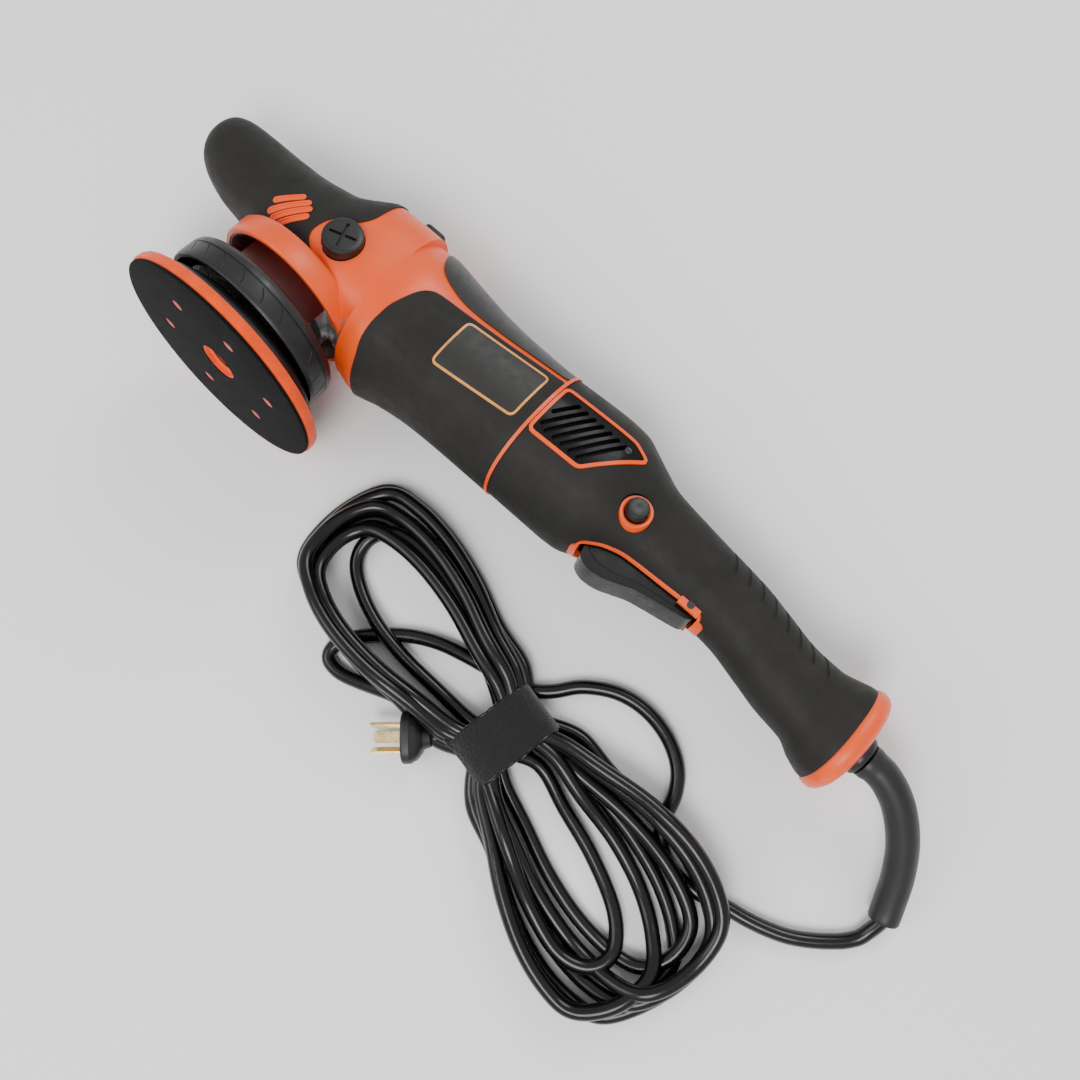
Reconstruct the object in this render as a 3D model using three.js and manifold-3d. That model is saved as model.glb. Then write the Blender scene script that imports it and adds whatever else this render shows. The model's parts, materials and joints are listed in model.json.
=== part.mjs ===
// Dual action polisher with its mains cord, lying on its right side beside the tied hank of cord.
// Millimetres. The tool's own frame has x forward, y to the left and z away from the pad, with
// its origin where the spindle axis crosses the motor axis. The whole part has +Z up from the
// surface that the tool lies on, +X towards the nose and its origin under the tool's middle.
import * as THREE from "three";
import { mergeVertices } from "three/addons/utils/BufferGeometryUtils.js";
import Module from "manifold-3d";

const wasm = await Module();
wasm.setup();

// ---------------------------------------------------------------- driving dimensions
const GAP = 0.3; // between pieces that touch, seat or turn in each other
const WALL = 3; // moulded casing wall
const SIDES = 24; // facets around the casing
const HOLLOW_SIDES = 16; // facets around its inside

const PAD_DIAMETER = 125; // backing plate for a 5 inch pad
const ORBIT = 15; // diameter of the pad's orbit
const FOAM_THICKNESS = 6.5;
const HOOK_THICKNESS = 1.4;
const PLATE_THICKNESS = 8; // hard part of the backing plate
const PLATE_TOP = -61.2; // z of the hard plate's upper face
const DUST_HOLES = 6;
const DUST_HOLE_RADIUS = 3.3;
const DUST_CIRCLE_RADIUS = 36;
const CENTRE_HOLE_RADIUS = 10.5;

const SHROUD_RADIUS = 48.5;
const SHROUD_TOP = -43;
const SHROUD_HEIGHT = 17;
const SKIRT_RADIUS = 42; // orange skirt round the gear case neck
const SKIRT_TOP = -17;
const SKIRT_BOTTOM = -30.5;
const CASE_RADIUS = 29.5; // aluminium gear case round the spindle

const PINION_TEETH = 7;
const GEAR_TEETH = 28;
const GEAR_RADIUS = 23; // pitch radius at the outer end of the teeth
const FACE_WIDTH = 7;
const BACKLASH = 0.9;
const SPINDLE_RADIUS = 6;
const SHAFT_RADIUS = 4;
const SHAFT_NOSE_RADIUS = 2.2; // where the pinion sits
const ARMATURE_RADIUS = 19.5;
const AIR_GAP = 1;
const STATOR_RADIUS = 30.5;

const HEAD_REAR = -43.7; // x of the seam between head and collar
const COLLAR_REAR = -62; // x of the seam between collar and motor housing
const HOUSING_REAR = -144; // x of the seam between motor housing and handle shells
const HANDLE_REAR = -352; // x where the end cap starts
const GRIP_REAR = -3; // x of the seam between front grip and head cover
const SEAM_RING_WIDTH = 1.4;

const CAP_RADIUS = 10.5; // blanking caps of the side handle bosses
const CAP_PLACE = { x: -15, z: -1.3 };
const CAP_FACE = 41.5; // y of the caps' outer faces
const BOSS_BORE_RADIUS = 4.3;

const DIAL_RADIUS = 12.5;
const DIAL_WIDTH = 6;
const DIAL_PLACE = { x: -182, z: 30 };
const LOCK_BUTTON_RADIUS = 5.7;
const LOCK_BUTTON_PLACE = { x: -210.7, z: -5.4 };
const SPINDLE_LOCK_X = -28.5;
const SPINDLE_LOCK_LENGTH = 14;
const SPINDLE_LOCK_WIDTH = 12;
const LOCK_PIN_RADIUS = 2;

const TRIGGER_HALF_WIDTH = 10;
const TRIGGER_PIVOT = { x: -259, z: -17.5 };
const TRIGGER_PIN_RADIUS = 2;
const BEZEL_MARGIN = 4.5; // width of the bezel's rim round the trigger slot

const CORD_DIAMETER = 8;
const SLEEVE_DIAMETER = 16.5;
const STRAP_WIDTH = 30;
const STRAP_THICKNESS = 2.4;

// Casing sections from collar to end cap: x, centre z, half width, half height.
const BODY = [
  [-43.7, 2.6, 38.5, 41.2],
  [-56, 1, 39.5, 42.6],
  [-62, 1.2, 38.6, 41.4],
  [-70, 1.7, 37.6, 39.8],
  [-82, 1.7, 36.6, 37.8],
  [-93, 1.4, 36, 36.5],
  [-114, 0.9, 35.4, 35.5],
  [-136, 0.8, 35.2, 35.4],
  [-157, 1.5, 35.4, 36.2],
  [-178, 2, 35.2, 36.8],
  [-188, 2, 34.4, 36.3],
  [-199, 2, 31.5, 32.4],
  [-209, 2.8, 28, 27.4],
  [-220, 2.4, 25, 24],
  [-240, 1.6, 22.3, 22.4],
  [-260, 0.8, 20.9, 21],
  [-280, -1, 20.4, 20.5],
  [-299, -5.2, 20.4, 20.7],
  [-318, -9.6, 20.6, 20.9],
  [-333, -11, 21.4, 21.6],
  [-343, -12.6, 24.2, 25],
  [-352, -12.8, 26.4, 27.2],
];
// Head sections from the rear seam to the tip of the front grip, in the same columns.
const HEAD = [
  [-43.7, 8.5, 37, 37.5],
  [-30, 8.5, 37.4, 37.5],
  [-16, 8.3, 37.2, 37.2],
  [-9, 6.6, 36.4, 34.6],
  [-3, 5.2, 35.2, 31.6],
  [4, 4.8, 33.4, 28.2],
  [16, 5, 30.6, 26.2],
  [28, 5.8, 27.6, 24.8],
  [40, 7.8, 25, 23.2],
  [52, 9.4, 22.6, 22],
  [66, 10.6, 20.8, 21],
  [79, 12.4, 19, 18.8],
  [88, 13.9, 15.8, 15.6],
  [93.4, 15, 10.6, 10.6],
  [96, 15.4, 4, 4],
];

// ---------------------------------------------------------------- values worked out
const ECCENTRICITY = ORBIT / 2;
const FOAM_TOP = PLATE_TOP - PLATE_THICKNESS - GAP;
const HOOK_TOP = FOAM_TOP - FOAM_THICKNESS - GAP;
const PLATE_BOTTOM = HOOK_TOP - HOOK_THICKNESS;
const PINION_RADIUS = (GEAR_RADIUS * PINION_TEETH) / GEAR_TEETH;
const MODULE = (2 * GEAR_RADIUS) / GEAR_TEETH;
const PIVOT_BORE_RADIUS = TRIGGER_PIN_RADIUS + GAP;

// ---------------------------------------------------------------- shape helpers
// A closed three.js geometry as a solid, with its faces turned outwards.
function solid(geometry) {
  const bare = new THREE.BufferGeometry();
  bare.setAttribute("position", geometry.getAttribute("position"));
  bare.setIndex(geometry.index);
  const merged = mergeVertices(bare, 1e-4);
  const at = merged.attributes.position;
  const faces = [];
  let volume = 0;
  for (let i = 0; i < merged.index.count; i += 3) {
    const [a, b, c] = [0, 1, 2].map((k) => merged.index.getX(i + k));
    if (a === b || b === c || c === a) continue;
    faces.push(a, b, c);
    const [p, q, r] = [a, b, c].map((k) => new THREE.Vector3().fromBufferAttribute(at, k));
    volume += p.dot(q.cross(r));
  }
  if (volume < 0) faces.reverse();
  return new wasm.Manifold(
    new wasm.Mesh({ numProp: 3, vertProperties: at.array, triVerts: new Uint32Array(faces) }),
  );
}

function join(...solids) {
  return solids.reduce((whole, next) => whole.add(next));
}

function cut(from, ...tools) {
  return tools.reduce((rest, tool) => rest.subtract(tool), from);
}

// A solid turned round z, or round x, from a closed profile of [radius, place along the axis].
function turned(profile, axis = "z", sides = 24) {
  const points = [...profile, profile[0]].map(([r, h]) => new THREE.Vector2(r, h));
  const geometry = new THREE.LatheGeometry(points, sides);
  if (axis === "z") geometry.rotateX(Math.PI / 2);
  else geometry.rotateZ(-Math.PI / 2);
  return solid(geometry);
}

// A flat ring or disc turned round z or x, between two places on the axis.
function ring(inner, outer, from, to, axis = "z", sides = 24) {
  return turned([[inner, from], [outer, from], [outer, to], [inner, to]], axis, sides);
}

function rod(radius, from, to, sides = 16) {
  const start = new THREE.Vector3(...from);
  const along = new THREE.Vector3(...to).sub(start);
  const geometry = new THREE.CylinderGeometry(radius, radius, along.length(), sides);
  const up = new THREE.Vector3(0, 1, 0);
  const turn = new THREE.Quaternion().setFromUnitVectors(up, along.clone().normalize());
  geometry.applyQuaternion(turn);
  const middle = start.addScaledVector(along, 0.5);
  return solid(geometry.translate(middle.x, middle.y, middle.z));
}

function block(low, high) {
  const size = high.map((v, i) => v - low[i]);
  const geometry = new THREE.BoxGeometry(...size);
  return solid(geometry.translate(...low.map((v, i) => v + size[i] / 2)));
}

function outlineShape(points) {
  return new THREE.Shape(points.map(([u, v]) => new THREE.Vector2(u, v)));
}

// An outline in x and z, drawn out along y.
function sidePrism(points, lowY, highY) {
  const settings = { depth: highY - lowY, bevelEnabled: false };
  const geometry = new THREE.ExtrudeGeometry(outlineShape(points), settings);
  return solid(geometry.rotateX(Math.PI / 2).translate(0, highY, 0));
}

// An outline in x and y, drawn out along z.
function planPrism(points, lowZ, highZ) {
  const settings = { depth: highZ - lowZ, bevelEnabled: false };
  const geometry = new THREE.ExtrudeGeometry(outlineShape(points), settings);
  return solid(geometry.translate(0, 0, lowZ));
}

function roundedRectangle(lowU, lowV, highU, highV, radius, steps = 3) {
  const corners = [
    [highU - radius, highV - radius, 0],
    [lowU + radius, highV - radius, 1],
    [lowU + radius, lowV + radius, 2],
    [highU - radius, lowV + radius, 3],
  ];
  return corners.flatMap(([u, v, quarter]) =>
    Array.from({ length: steps + 1 }, (_, i) => {
      const angle = ((quarter + i / steps) * Math.PI) / 2;
      return [u + radius * Math.cos(angle), v + radius * Math.sin(angle)];
    }),
  );
}

// A straight-sided outline grown outwards by an even margin.
function grown(points, margin) {
  return points.map((point, i) => {
    const before = points[(i + points.length - 1) % points.length];
    const after = points[(i + 1) % points.length];
    const normal = (p, q) => {
      const length = Math.hypot(q[0] - p[0], q[1] - p[1]);
      return [(q[1] - p[1]) / length, (p[0] - q[0]) / length];
    };
    const [a, b] = [normal(before, point), normal(point, after)];
    const reach = margin / (1 + a[0] * b[0] + a[1] * b[1]);
    return [point[0] + (a[0] + b[0]) * reach, point[1] + (a[1] + b[1]) * reach];
  });
}

// The casing's section at any x, and the run of sections between two seams.
function sectionAt(table, x) {
  const rising = table[0][0] < table[1][0] ? 1 : -1;
  const after = Math.max(1, table.findIndex((row) => (row[0] - x) * rising >= 0));
  const [low, high] = [table[after - 1], table[after]];
  const share = (x - low[0]) / (high[0] - low[0]);
  return low.map((v, i) => v + (high[i] - v) * share);
}

function sectionsBetween(table, first, last) {
  const [low, high] = [Math.min(first, last), Math.max(first, last)];
  const inside = table.filter((row) => row[0] > low + 1 && row[0] < high - 1);
  return [sectionAt(table, first), ...inside, sectionAt(table, last)];
}

// A body through rounded sections that stand along x, grown or shrunk by an even margin.
// Its two ends can be drawn out, so that a hollow cut with it comes out open.
function loft(sections, margin = 0, overrun = 0, roundness = 2.3, sides = SIDES) {
  const rings = sections.length - 1;
  const geometry = new THREE.CylinderGeometry(1, 1, 1, sides, rings);
  const at = geometry.attributes.position;
  const forward = Math.sign(sections[rings][0] - sections[0][0]);
  for (let i = 0; i < at.count; i++) {
    const step = Math.round((0.5 - at.getY(i)) * rings);
    const [x, centre, halfWidth, halfHeight] = sections[step];
    const [u, v] = [at.getX(i), at.getZ(i)];
    const spread = Math.abs(u) ** roundness + Math.abs(v) ** roundness;
    const reach = spread > 1e-9 ? spread ** (-1 / roundness) : 0;
    const drawn = step === 0 ? -overrun : step === rings ? overrun : 0;
    at.setXYZ(
      i,
      x + drawn * forward,
      (halfWidth + margin) * u * reach,
      centre + (halfHeight + margin) * v * reach,
    );
  }
  return solid(geometry);
}

// The inside of a moulded shell, drawn out at both ends.
function hollow(sections, depth = WALL, roundness = 2.3) {
  return loft(sections, -depth, 2, roundness, HOLLOW_SIDES);
}

// A layer of the casing between two depths, such as a badge let into its surface.
function layer(sections, outerMargin, innerMargin) {
  return cut(loft(sections, outerMargin), loft(sections, innerMargin, 1));
}

// A round or flat section drawn along a smooth curve through points.
function drawnAlong(points, radius, sides, steps) {
  const curve = new THREE.CatmullRomCurve3(points.map((p) => new THREE.Vector3(...p)), false, "centripetal");
  const section = new THREE.Shape(
    Array.from({ length: sides }, (_, i) => {
      const angle = (2 * Math.PI * i) / sides;
      return new THREE.Vector2(radius * Math.cos(angle), radius * Math.sin(angle));
    }),
  );
  return solid(new THREE.ExtrudeGeometry(section, { steps, extrudePath: curve, bevelEnabled: false }));
}

// ---------------------------------------------------------------- finishes
const finish = (color, roughness, metalness) => ({ color, roughness, metalness });
const ORANGE = finish(0xff6418, 0.42, 0);
const RUBBER = finish(0x2c2b2a, 0.82, 0);
const BLACK_PLASTIC = finish(0x1c1c1e, 0.45, 0);
const GLOSS_BLACK = finish(0x101012, 0.25, 0);
const ALUMINIUM = finish(0xb9bbbd, 0.38, 0.9);
const STEEL = finish(0x8e9196, 0.3, 1);
const COPPER = finish(0xb06a36, 0.35, 1);
const CARBON = finish(0x26262a, 0.9, 0.1);
const BRASS = finish(0xc9a45c, 0.35, 1);
const FOAM = finish(0xff5a12, 0.9, 0);
const HOOK = finish(0x141414, 0.95, 0);
const PVC = finish(0x0c0c0d, 0.22, 0);
const WEBBING = finish(0x121212, 0.95, 0);

const part = new THREE.Group();
const tool = new THREE.Group();
part.add(tool);

// Makes one named mesh of a solid and puts it in a group.
function piece(name, body, look, group = tool) {
  const { vertProperties, triVerts } = body.getMesh();
  const geometry = new THREE.BufferGeometry();
  geometry.setAttribute("position", new THREE.BufferAttribute(vertProperties, 3));
  geometry.setIndex(new THREE.BufferAttribute(triVerts, 1));
  geometry.computeVertexNormals();
  const mesh = new THREE.Mesh(geometry, new THREE.MeshStandardMaterial(look));
  mesh.name = name;
  group.add(mesh);
  return mesh;
}

// ---------------------------------------------------------------- backing plate
// Everything that spins freely on the eccentric, drawn round the plate's own axis.
const plateGroup = new THREE.Group();
plateGroup.position.y = -ECCENTRICITY;
tool.add(plateGroup);

const STUD_RADIUS = 5.7;
const BOLT_RADIUS = 4;
const STUD_TOP = PLATE_TOP + 11;

function dustHoles(lowZ, highZ) {
  return Array.from({ length: DUST_HOLES }, (_, i) => {
    const angle = (2 * Math.PI * i) / DUST_HOLES - 0.14;
    const [x, y] = [DUST_CIRCLE_RADIUS * Math.cos(angle), DUST_CIRCLE_RADIUS * Math.sin(angle)];
    return rod(DUST_HOLE_RADIUS, [x, y, lowZ], [x, y, highZ], 8);
  });
}

function backingPlate() {
  const edge = PAD_DIAMETER / 2 - 7.5;
  const bore = BOLT_RADIUS + GAP;
  const low = PLATE_TOP - PLATE_THICKNESS;
  return turned([
    [bore, low],
    [edge, low],
    [edge, low + 1.5],
    [edge - 6, PLATE_TOP - 1],
    [edge - 8, PLATE_TOP],
    [bore, PLATE_TOP],
  ], "z", 36);
}

function foamLayer() {
  const radius = PAD_DIAMETER / 2;
  const disc = turned([
    [CENTRE_HOLE_RADIUS, FOAM_TOP - FOAM_THICKNESS],
    [radius - 0.8, FOAM_TOP - FOAM_THICKNESS],
    [radius, FOAM_TOP - FOAM_THICKNESS + 1.2],
    [radius - 0.6, FOAM_TOP - 1.6],
    [radius - 3, FOAM_TOP],
    [CENTRE_HOLE_RADIUS, FOAM_TOP],
  ], "z", 40);
  return cut(disc, ...dustHoles(FOAM_TOP - FOAM_THICKNESS - 1, FOAM_TOP + 1));
}

function hookFace() {
  const disc = ring(CENTRE_HOLE_RADIUS, PAD_DIAMETER / 2 - 0.8, PLATE_BOTTOM, HOOK_TOP, "z", 40);
  return cut(disc, ...dustHoles(PLATE_BOTTOM - 1, HOOK_TOP + 1));
}

function plateBolt() {
  const headTop = PLATE_TOP - PLATE_THICKNESS - GAP;
  const head = rod(6.8, [0, 0, headTop - 4.5], [0, 0, headTop], 24);
  const shank = rod(BOLT_RADIUS, [0, 0, headTop - 1], [0, 0, STUD_TOP - 3], 20);
  const socket = rod(3.2, [0, 0, headTop - 5], [0, 0, headTop - 2], 6);
  return cut(join(head, shank), socket);
}

function plateStud() {
  const sleeve = rod(STUD_RADIUS, [0, 0, PLATE_TOP + GAP], [0, 0, STUD_TOP], 24);
  const flange = rod(13, [0, 0, PLATE_TOP + GAP], [0, 0, PLATE_TOP + 1.5], 28);
  const bore = rod(BOLT_RADIUS + GAP, [0, 0, PLATE_TOP - 1], [0, 0, STUD_TOP - 2], 20);
  return cut(join(sleeve, flange), bore);
}

piece("backing_plate", backingPlate(), BLACK_PLASTIC, plateGroup);
piece("foam_layer", foamLayer(), FOAM, plateGroup);
const hookMesh = piece("hook_face", hookFace(), HOOK, plateGroup);
piece("plate_bolt", plateBolt(), STEEL, plateGroup);
piece("plate_stud", plateStud(), STEEL, plateGroup);

// ---------------------------------------------------------------- eccentric drive
const ECCENTRIC_BEARING_RADIUS = 13;
const CARRIER_TOP = SHROUD_TOP - 3;
const CARRIER_BOTTOM = PLATE_TOP + 2.6;
const SPINDLE_TOP = 17;
const SPINDLE_END_RADIUS = 4.5;
const CARRIER_HUB_RADIUS = 10;

function eccentricBearing() {
  return ring(STUD_RADIUS + GAP, ECCENTRIC_BEARING_RADIUS, CARRIER_BOTTOM + 1, CARRIER_BOTTOM + 9);
}

// Bearing housing on the eccentric side, balanced by a half disc on the other side.
function counterweight() {
  const housing = rod(ECCENTRIC_BEARING_RADIUS + 4, [0, -ECCENTRICITY, CARRIER_BOTTOM],
    [0, -ECCENTRICITY, CARRIER_TOP], 32);
  const hub = rod(CARRIER_HUB_RADIUS, [0, 0, CARRIER_TOP - 2], [0, 0, CARRIER_TOP + 5], 28);
  const weight = cut(
    rod(39, [0, 0, CARRIER_BOTTOM + 2], [0, 0, CARRIER_TOP], 40),
    block([-60, -60, CARRIER_BOTTOM], [60, 2, CARRIER_TOP + 1]),
  );
  const pocket = rod(ECCENTRIC_BEARING_RADIUS + GAP, [0, -ECCENTRICITY, CARRIER_BOTTOM - 1],
    [0, -ECCENTRICITY, CARRIER_BOTTOM + 9 + GAP], 32);
  const bore = rod(SPINDLE_END_RADIUS + GAP, [0, 0, CARRIER_BOTTOM + 10.5], [0, 0, CARRIER_TOP + 6]);
  return cut(join(housing, hub, weight), pocket, bore);
}

function spindle() {
  const seat = CARRIER_TOP + 5 + GAP;
  return turned([
    [0, CARRIER_BOTTOM + 10.8],
    [SPINDLE_END_RADIUS, CARRIER_BOTTOM + 10.8],
    [SPINDLE_END_RADIUS, seat],
    [SPINDLE_RADIUS + 2, seat],
    [SPINDLE_RADIUS + 2, -35],
    [SPINDLE_RADIUS, -35],
    [SPINDLE_RADIUS, SPINDLE_TOP - 1],
    [SPINDLE_RADIUS - 1, SPINDLE_TOP],
    [0, SPINDLE_TOP],
  ], "z", 24);
}

// Straight bevel teeth on a cone with its apex at the origin, opening towards -z.
function bevelTeeth(count, radius, distance, phase) {
  const slant = Math.hypot(radius, distance);
  const inner = (slant - FACE_WIDTH) / slant;
  const normal = [distance / slant, radius / slant];
  const width = (Math.PI * MODULE - BACKLASH) / 2;
  const teeth = Array.from({ length: count }, (_, i) => {
    const angle = phase + (2 * Math.PI * i) / count;
    const geometry = new THREE.BoxGeometry(1, 1, 1);
    const at = geometry.attributes.position;
    for (let k = 0; k < at.count; k++) {
      const tip = at.getY(k) > 0;
      const scale = at.getZ(k) > 0 ? 1 : inner;
      const height = (tip ? 0.85 : -1.35) * MODULE;
      const across = Math.sign(at.getX(k)) * width * (tip ? 0.28 : 0.68) * scale;
      const outward = (radius + normal[0] * height) * scale;
      const up = (-distance + normal[1] * height) * scale;
      const [c, s] = [Math.cos(angle), Math.sin(angle)];
      at.setXYZ(k, outward * c - across * s, outward * s + across * c, up);
    }
    return solid(geometry);
  });
  const root = [outerPoint(-1.1 * MODULE, 1), outerPoint(-1.1 * MODULE, inner)];
  function outerPoint(height, scale) {
    return [(radius + normal[0] * height) * scale, (-distance + normal[1] * height) * scale];
  }
  return { teeth, root };
}

function bevelGear() {
  const halfPitch = Math.PI / GEAR_TEETH;
  const { teeth, root } = bevelTeeth(GEAR_TEETH, GEAR_RADIUS, PINION_RADIUS, halfPitch);
  const [outer, inner] = root;
  const bore = SPINDLE_RADIUS + GAP;
  const back = outer[1] - 4.5;
  const blank = turned([
    [bore, back - 4], [11, back - 4], [13, back], [outer[0], back],
    outer, inner, [12, inner[1]], [11, inner[1] - 1], [bore, inner[1] - 1],
  ], "z", GEAR_TEETH);
  return join(blank, ...teeth);
}

// The pinion's cone opens backwards along the motor axis.
function bevelPinion() {
  const { teeth, root } = bevelTeeth(PINION_TEETH, PINION_RADIUS, GEAR_RADIUS, 0);
  const [outer, inner] = root;
  const blank = turned([
    [0, outer[1] - 2], [7.2, outer[1] - 2], [7.2, outer[1] - 0.6], outer, inner, [0, inner[1]],
  ], "z", 2 * PINION_TEETH);
  const bore = rod(SHAFT_NOSE_RADIUS + GAP, [0, 0, outer[1] - 3], [0, 0, inner[1] + 2]);
  return cut(join(blank, ...teeth), bore);
}

const driveGroup = new THREE.Group();
tool.add(driveGroup);
piece("counterweight", counterweight(), STEEL, driveGroup);
piece("spindle", spindle(), STEEL, driveGroup);
piece("bevel_gear", bevelGear(), STEEL, driveGroup);
piece("eccentric_bearing", eccentricBearing(), STEEL, driveGroup).position.y = -ECCENTRICITY;

// ---------------------------------------------------------------- armature
const PINION_BACK = -GEAR_RADIUS - 3.5;
const COLLAR_FROM = -38;
const FAN_FROM = -69;
const CORE_FROM = -126;
const CORE_TO = -76;
const COMMUTATOR_FROM = -150;
const REAR_BEARING_FROM = -166;
const FRONT_BEARING_FROM = -53;
const FRONT_BEARING_RADIUS = 13.5;
const REAR_BEARING_RADIUS = 11;
const BEARING_WIDTH = 8;

// Shaft with the collar whose cross hole takes the spindle lock pin.
function armatureShaft() {
  const tip = -GEAR_RADIUS + FACE_WIDTH;
  const shaft = rod(SHAFT_RADIUS, [REAR_BEARING_FROM - 4, 0, 0], [PINION_BACK - 2, 0, 0], 16);
  const nose = rod(SHAFT_NOSE_RADIUS, [PINION_BACK - 3, 0, 0], [tip - 0.5, 0, 0], 12);
  const collar = rod(9, [COLLAR_FROM, 0, 0], [PINION_BACK - 0.5, 0, 0], 28);
  const hole = rod(LOCK_PIN_RADIUS + 0.6, [lockPinX(), 0, 4.5], [lockPinX(), 0, 12], 16);
  return cut(join(shaft, nose, collar), hole);
}

function lockPinX() {
  return (COLLAR_FROM + PINION_BACK) / 2;
}

function armatureCore() {
  const slots = 8;
  const bore = SHAFT_RADIUS + GAP;
  const body = ring(bore, ARMATURE_RADIUS, CORE_FROM, CORE_TO, "x", 24);
  const cuts = Array.from({ length: slots }, (_, i) => {
    const angle = (2 * Math.PI * i) / slots;
    const [y, z] = [ARMATURE_RADIUS * Math.cos(angle), ARMATURE_RADIUS * Math.sin(angle)];
    return rod(1.7, [CORE_FROM - 1, y, z], [CORE_TO + 1, y, z], 8);
  });
  return cut(body, ...cuts);
}

function armatureWinding(from, to) {
  const bore = SHAFT_RADIUS + GAP;
  return turned([[bore, from], [14.5, from], [17, from + 2], [17, to - 2], [14.5, to], [bore, to]], "x", 24);
}

function commutator() {
  return ring(SHAFT_RADIUS + GAP, 11, COMMUTATOR_FROM, COMMUTATOR_FROM + 15, "x", 24);
}

function coolingFan() {
  const blades = 6;
  const hub = ring(SHAFT_RADIUS + GAP, 9, FAN_FROM, FAN_FROM + 12, "x", 24);
  const disc = ring(SHAFT_RADIUS + GAP, 31, FAN_FROM + 9.5, FAN_FROM + 12, "x", 28);
  const fins = Array.from({ length: blades }, (_, i) => {
    const geometry = new THREE.BoxGeometry(10.5, 22, 1.6);
    geometry.translate(FAN_FROM + 5.5, 19, 4).rotateX((2 * Math.PI * i) / blades);
    return solid(geometry);
  });
  return join(hub, disc, ...fins);
}

const armatureGroup = new THREE.Group();
tool.add(armatureGroup);
piece("armature_shaft", armatureShaft(), STEEL, armatureGroup);
const pinionMesh = piece("bevel_pinion", bevelPinion(), STEEL, armatureGroup);
pinionMesh.rotation.y = Math.PI / 2;
piece("armature_core", armatureCore(), STEEL, armatureGroup);
piece("armature_winding", armatureWinding(CORE_TO + GAP, FAN_FROM - 0.6), COPPER, armatureGroup);
piece("commutator", commutator(), COPPER, armatureGroup);
piece("cooling_fan", coolingFan(), BLACK_PLASTIC, armatureGroup);

// ---------------------------------------------------------------- fixed motor pieces
function bearing(bore, outer, from, axis) {
  return ring(bore + GAP, outer, from, from + BEARING_WIDTH, axis, 28);
}

function statorCore() {
  const body = ring(ARMATURE_RADIUS + AIR_GAP, STATOR_RADIUS, CORE_FROM, CORE_TO, "x", 32);
  const flats = [1, -1].map((side) =>
    block([CORE_FROM - 1, -40, side > 0 ? 28.5 : -40], [CORE_TO + 1, 40, side > 0 ? 40 : -28.5]),
  );
  return cut(body, ...flats);
}

const BRUSH_X = COMMUTATOR_FROM + 7.5;
const BRUSH_HALF = [3, 4];

// A block beside the shaft, between two distances from the middle plane on one side.
function sideBlock(side, lowX, highX, near, far, lowZ, highZ) {
  const [lowY, highY] = side > 0 ? [near, far] : [-far, -near];
  return block([lowX, lowY, lowZ], [highX, highY, highZ]);
}

function brushHolder(side) {
  const [from, to] = [13, 27];
  const [u, v] = BRUSH_HALF.map((half) => half + GAP);
  const outer = sideBlock(side, BRUSH_X - 6, BRUSH_X + 6, from, to, -7, 7);
  return cut(outer, sideBlock(side, BRUSH_X - u, BRUSH_X + u, from - 1, to + 1, -v, v));
}

function carbonBrush(side) {
  const [u, v] = BRUSH_HALF;
  return sideBlock(side, BRUSH_X - u, BRUSH_X + u, 11.4, 25, -v, v);
}

const UPPER_BEARING_FROM = 9.5;
const UPPER_BEARING_RADIUS = 11;
const LOWER_BEARING_FROM = -34;
const LOWER_BEARING_RADIUS = 16;

piece("front_bearing", bearing(SHAFT_RADIUS, FRONT_BEARING_RADIUS, FRONT_BEARING_FROM, "x"), STEEL);
piece("rear_bearing", bearing(SHAFT_RADIUS, REAR_BEARING_RADIUS, REAR_BEARING_FROM, "x"), STEEL);
piece("upper_spindle_bearing",
  ring(SPINDLE_RADIUS + GAP, UPPER_BEARING_RADIUS, UPPER_BEARING_FROM, SPINDLE_TOP - 1), STEEL);
piece("lower_spindle_bearing", bearing(SPINDLE_RADIUS, LOWER_BEARING_RADIUS, LOWER_BEARING_FROM, "z"), STEEL);
piece("stator_core", statorCore(), STEEL);
for (const [word, side] of [["left", 1], ["right", -1]]) {
  piece("brush_holder_" + word, brushHolder(side), BRASS);
  piece("carbon_brush_" + word, carbonBrush(side), CARBON);
}

// ---------------------------------------------------------------- head
const CASE_TOP = 26;
const CASE_BOTTOM = SHROUD_TOP + 1;
const FLANGE_RADIUS = 35;
const FLANGE_REAR = FRONT_BEARING_FROM - 2;

const GRIP_ROUNDNESS = 2.6;
const CASE_DEPTH = 1.8; // least depth of the gear case under the surface of the head

// Everything at least so deep under the surface of the head, and all that the skirt covers.
function underHead(depth) {
  const rows = sectionsBetween(HEAD, HEAD_REAR - 4, 66);
  return join(loft(rows, -depth, 0, GRIP_ROUNDNESS), block([-80, -80, -80], [80, 80, SKIRT_TOP]));
}

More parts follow.
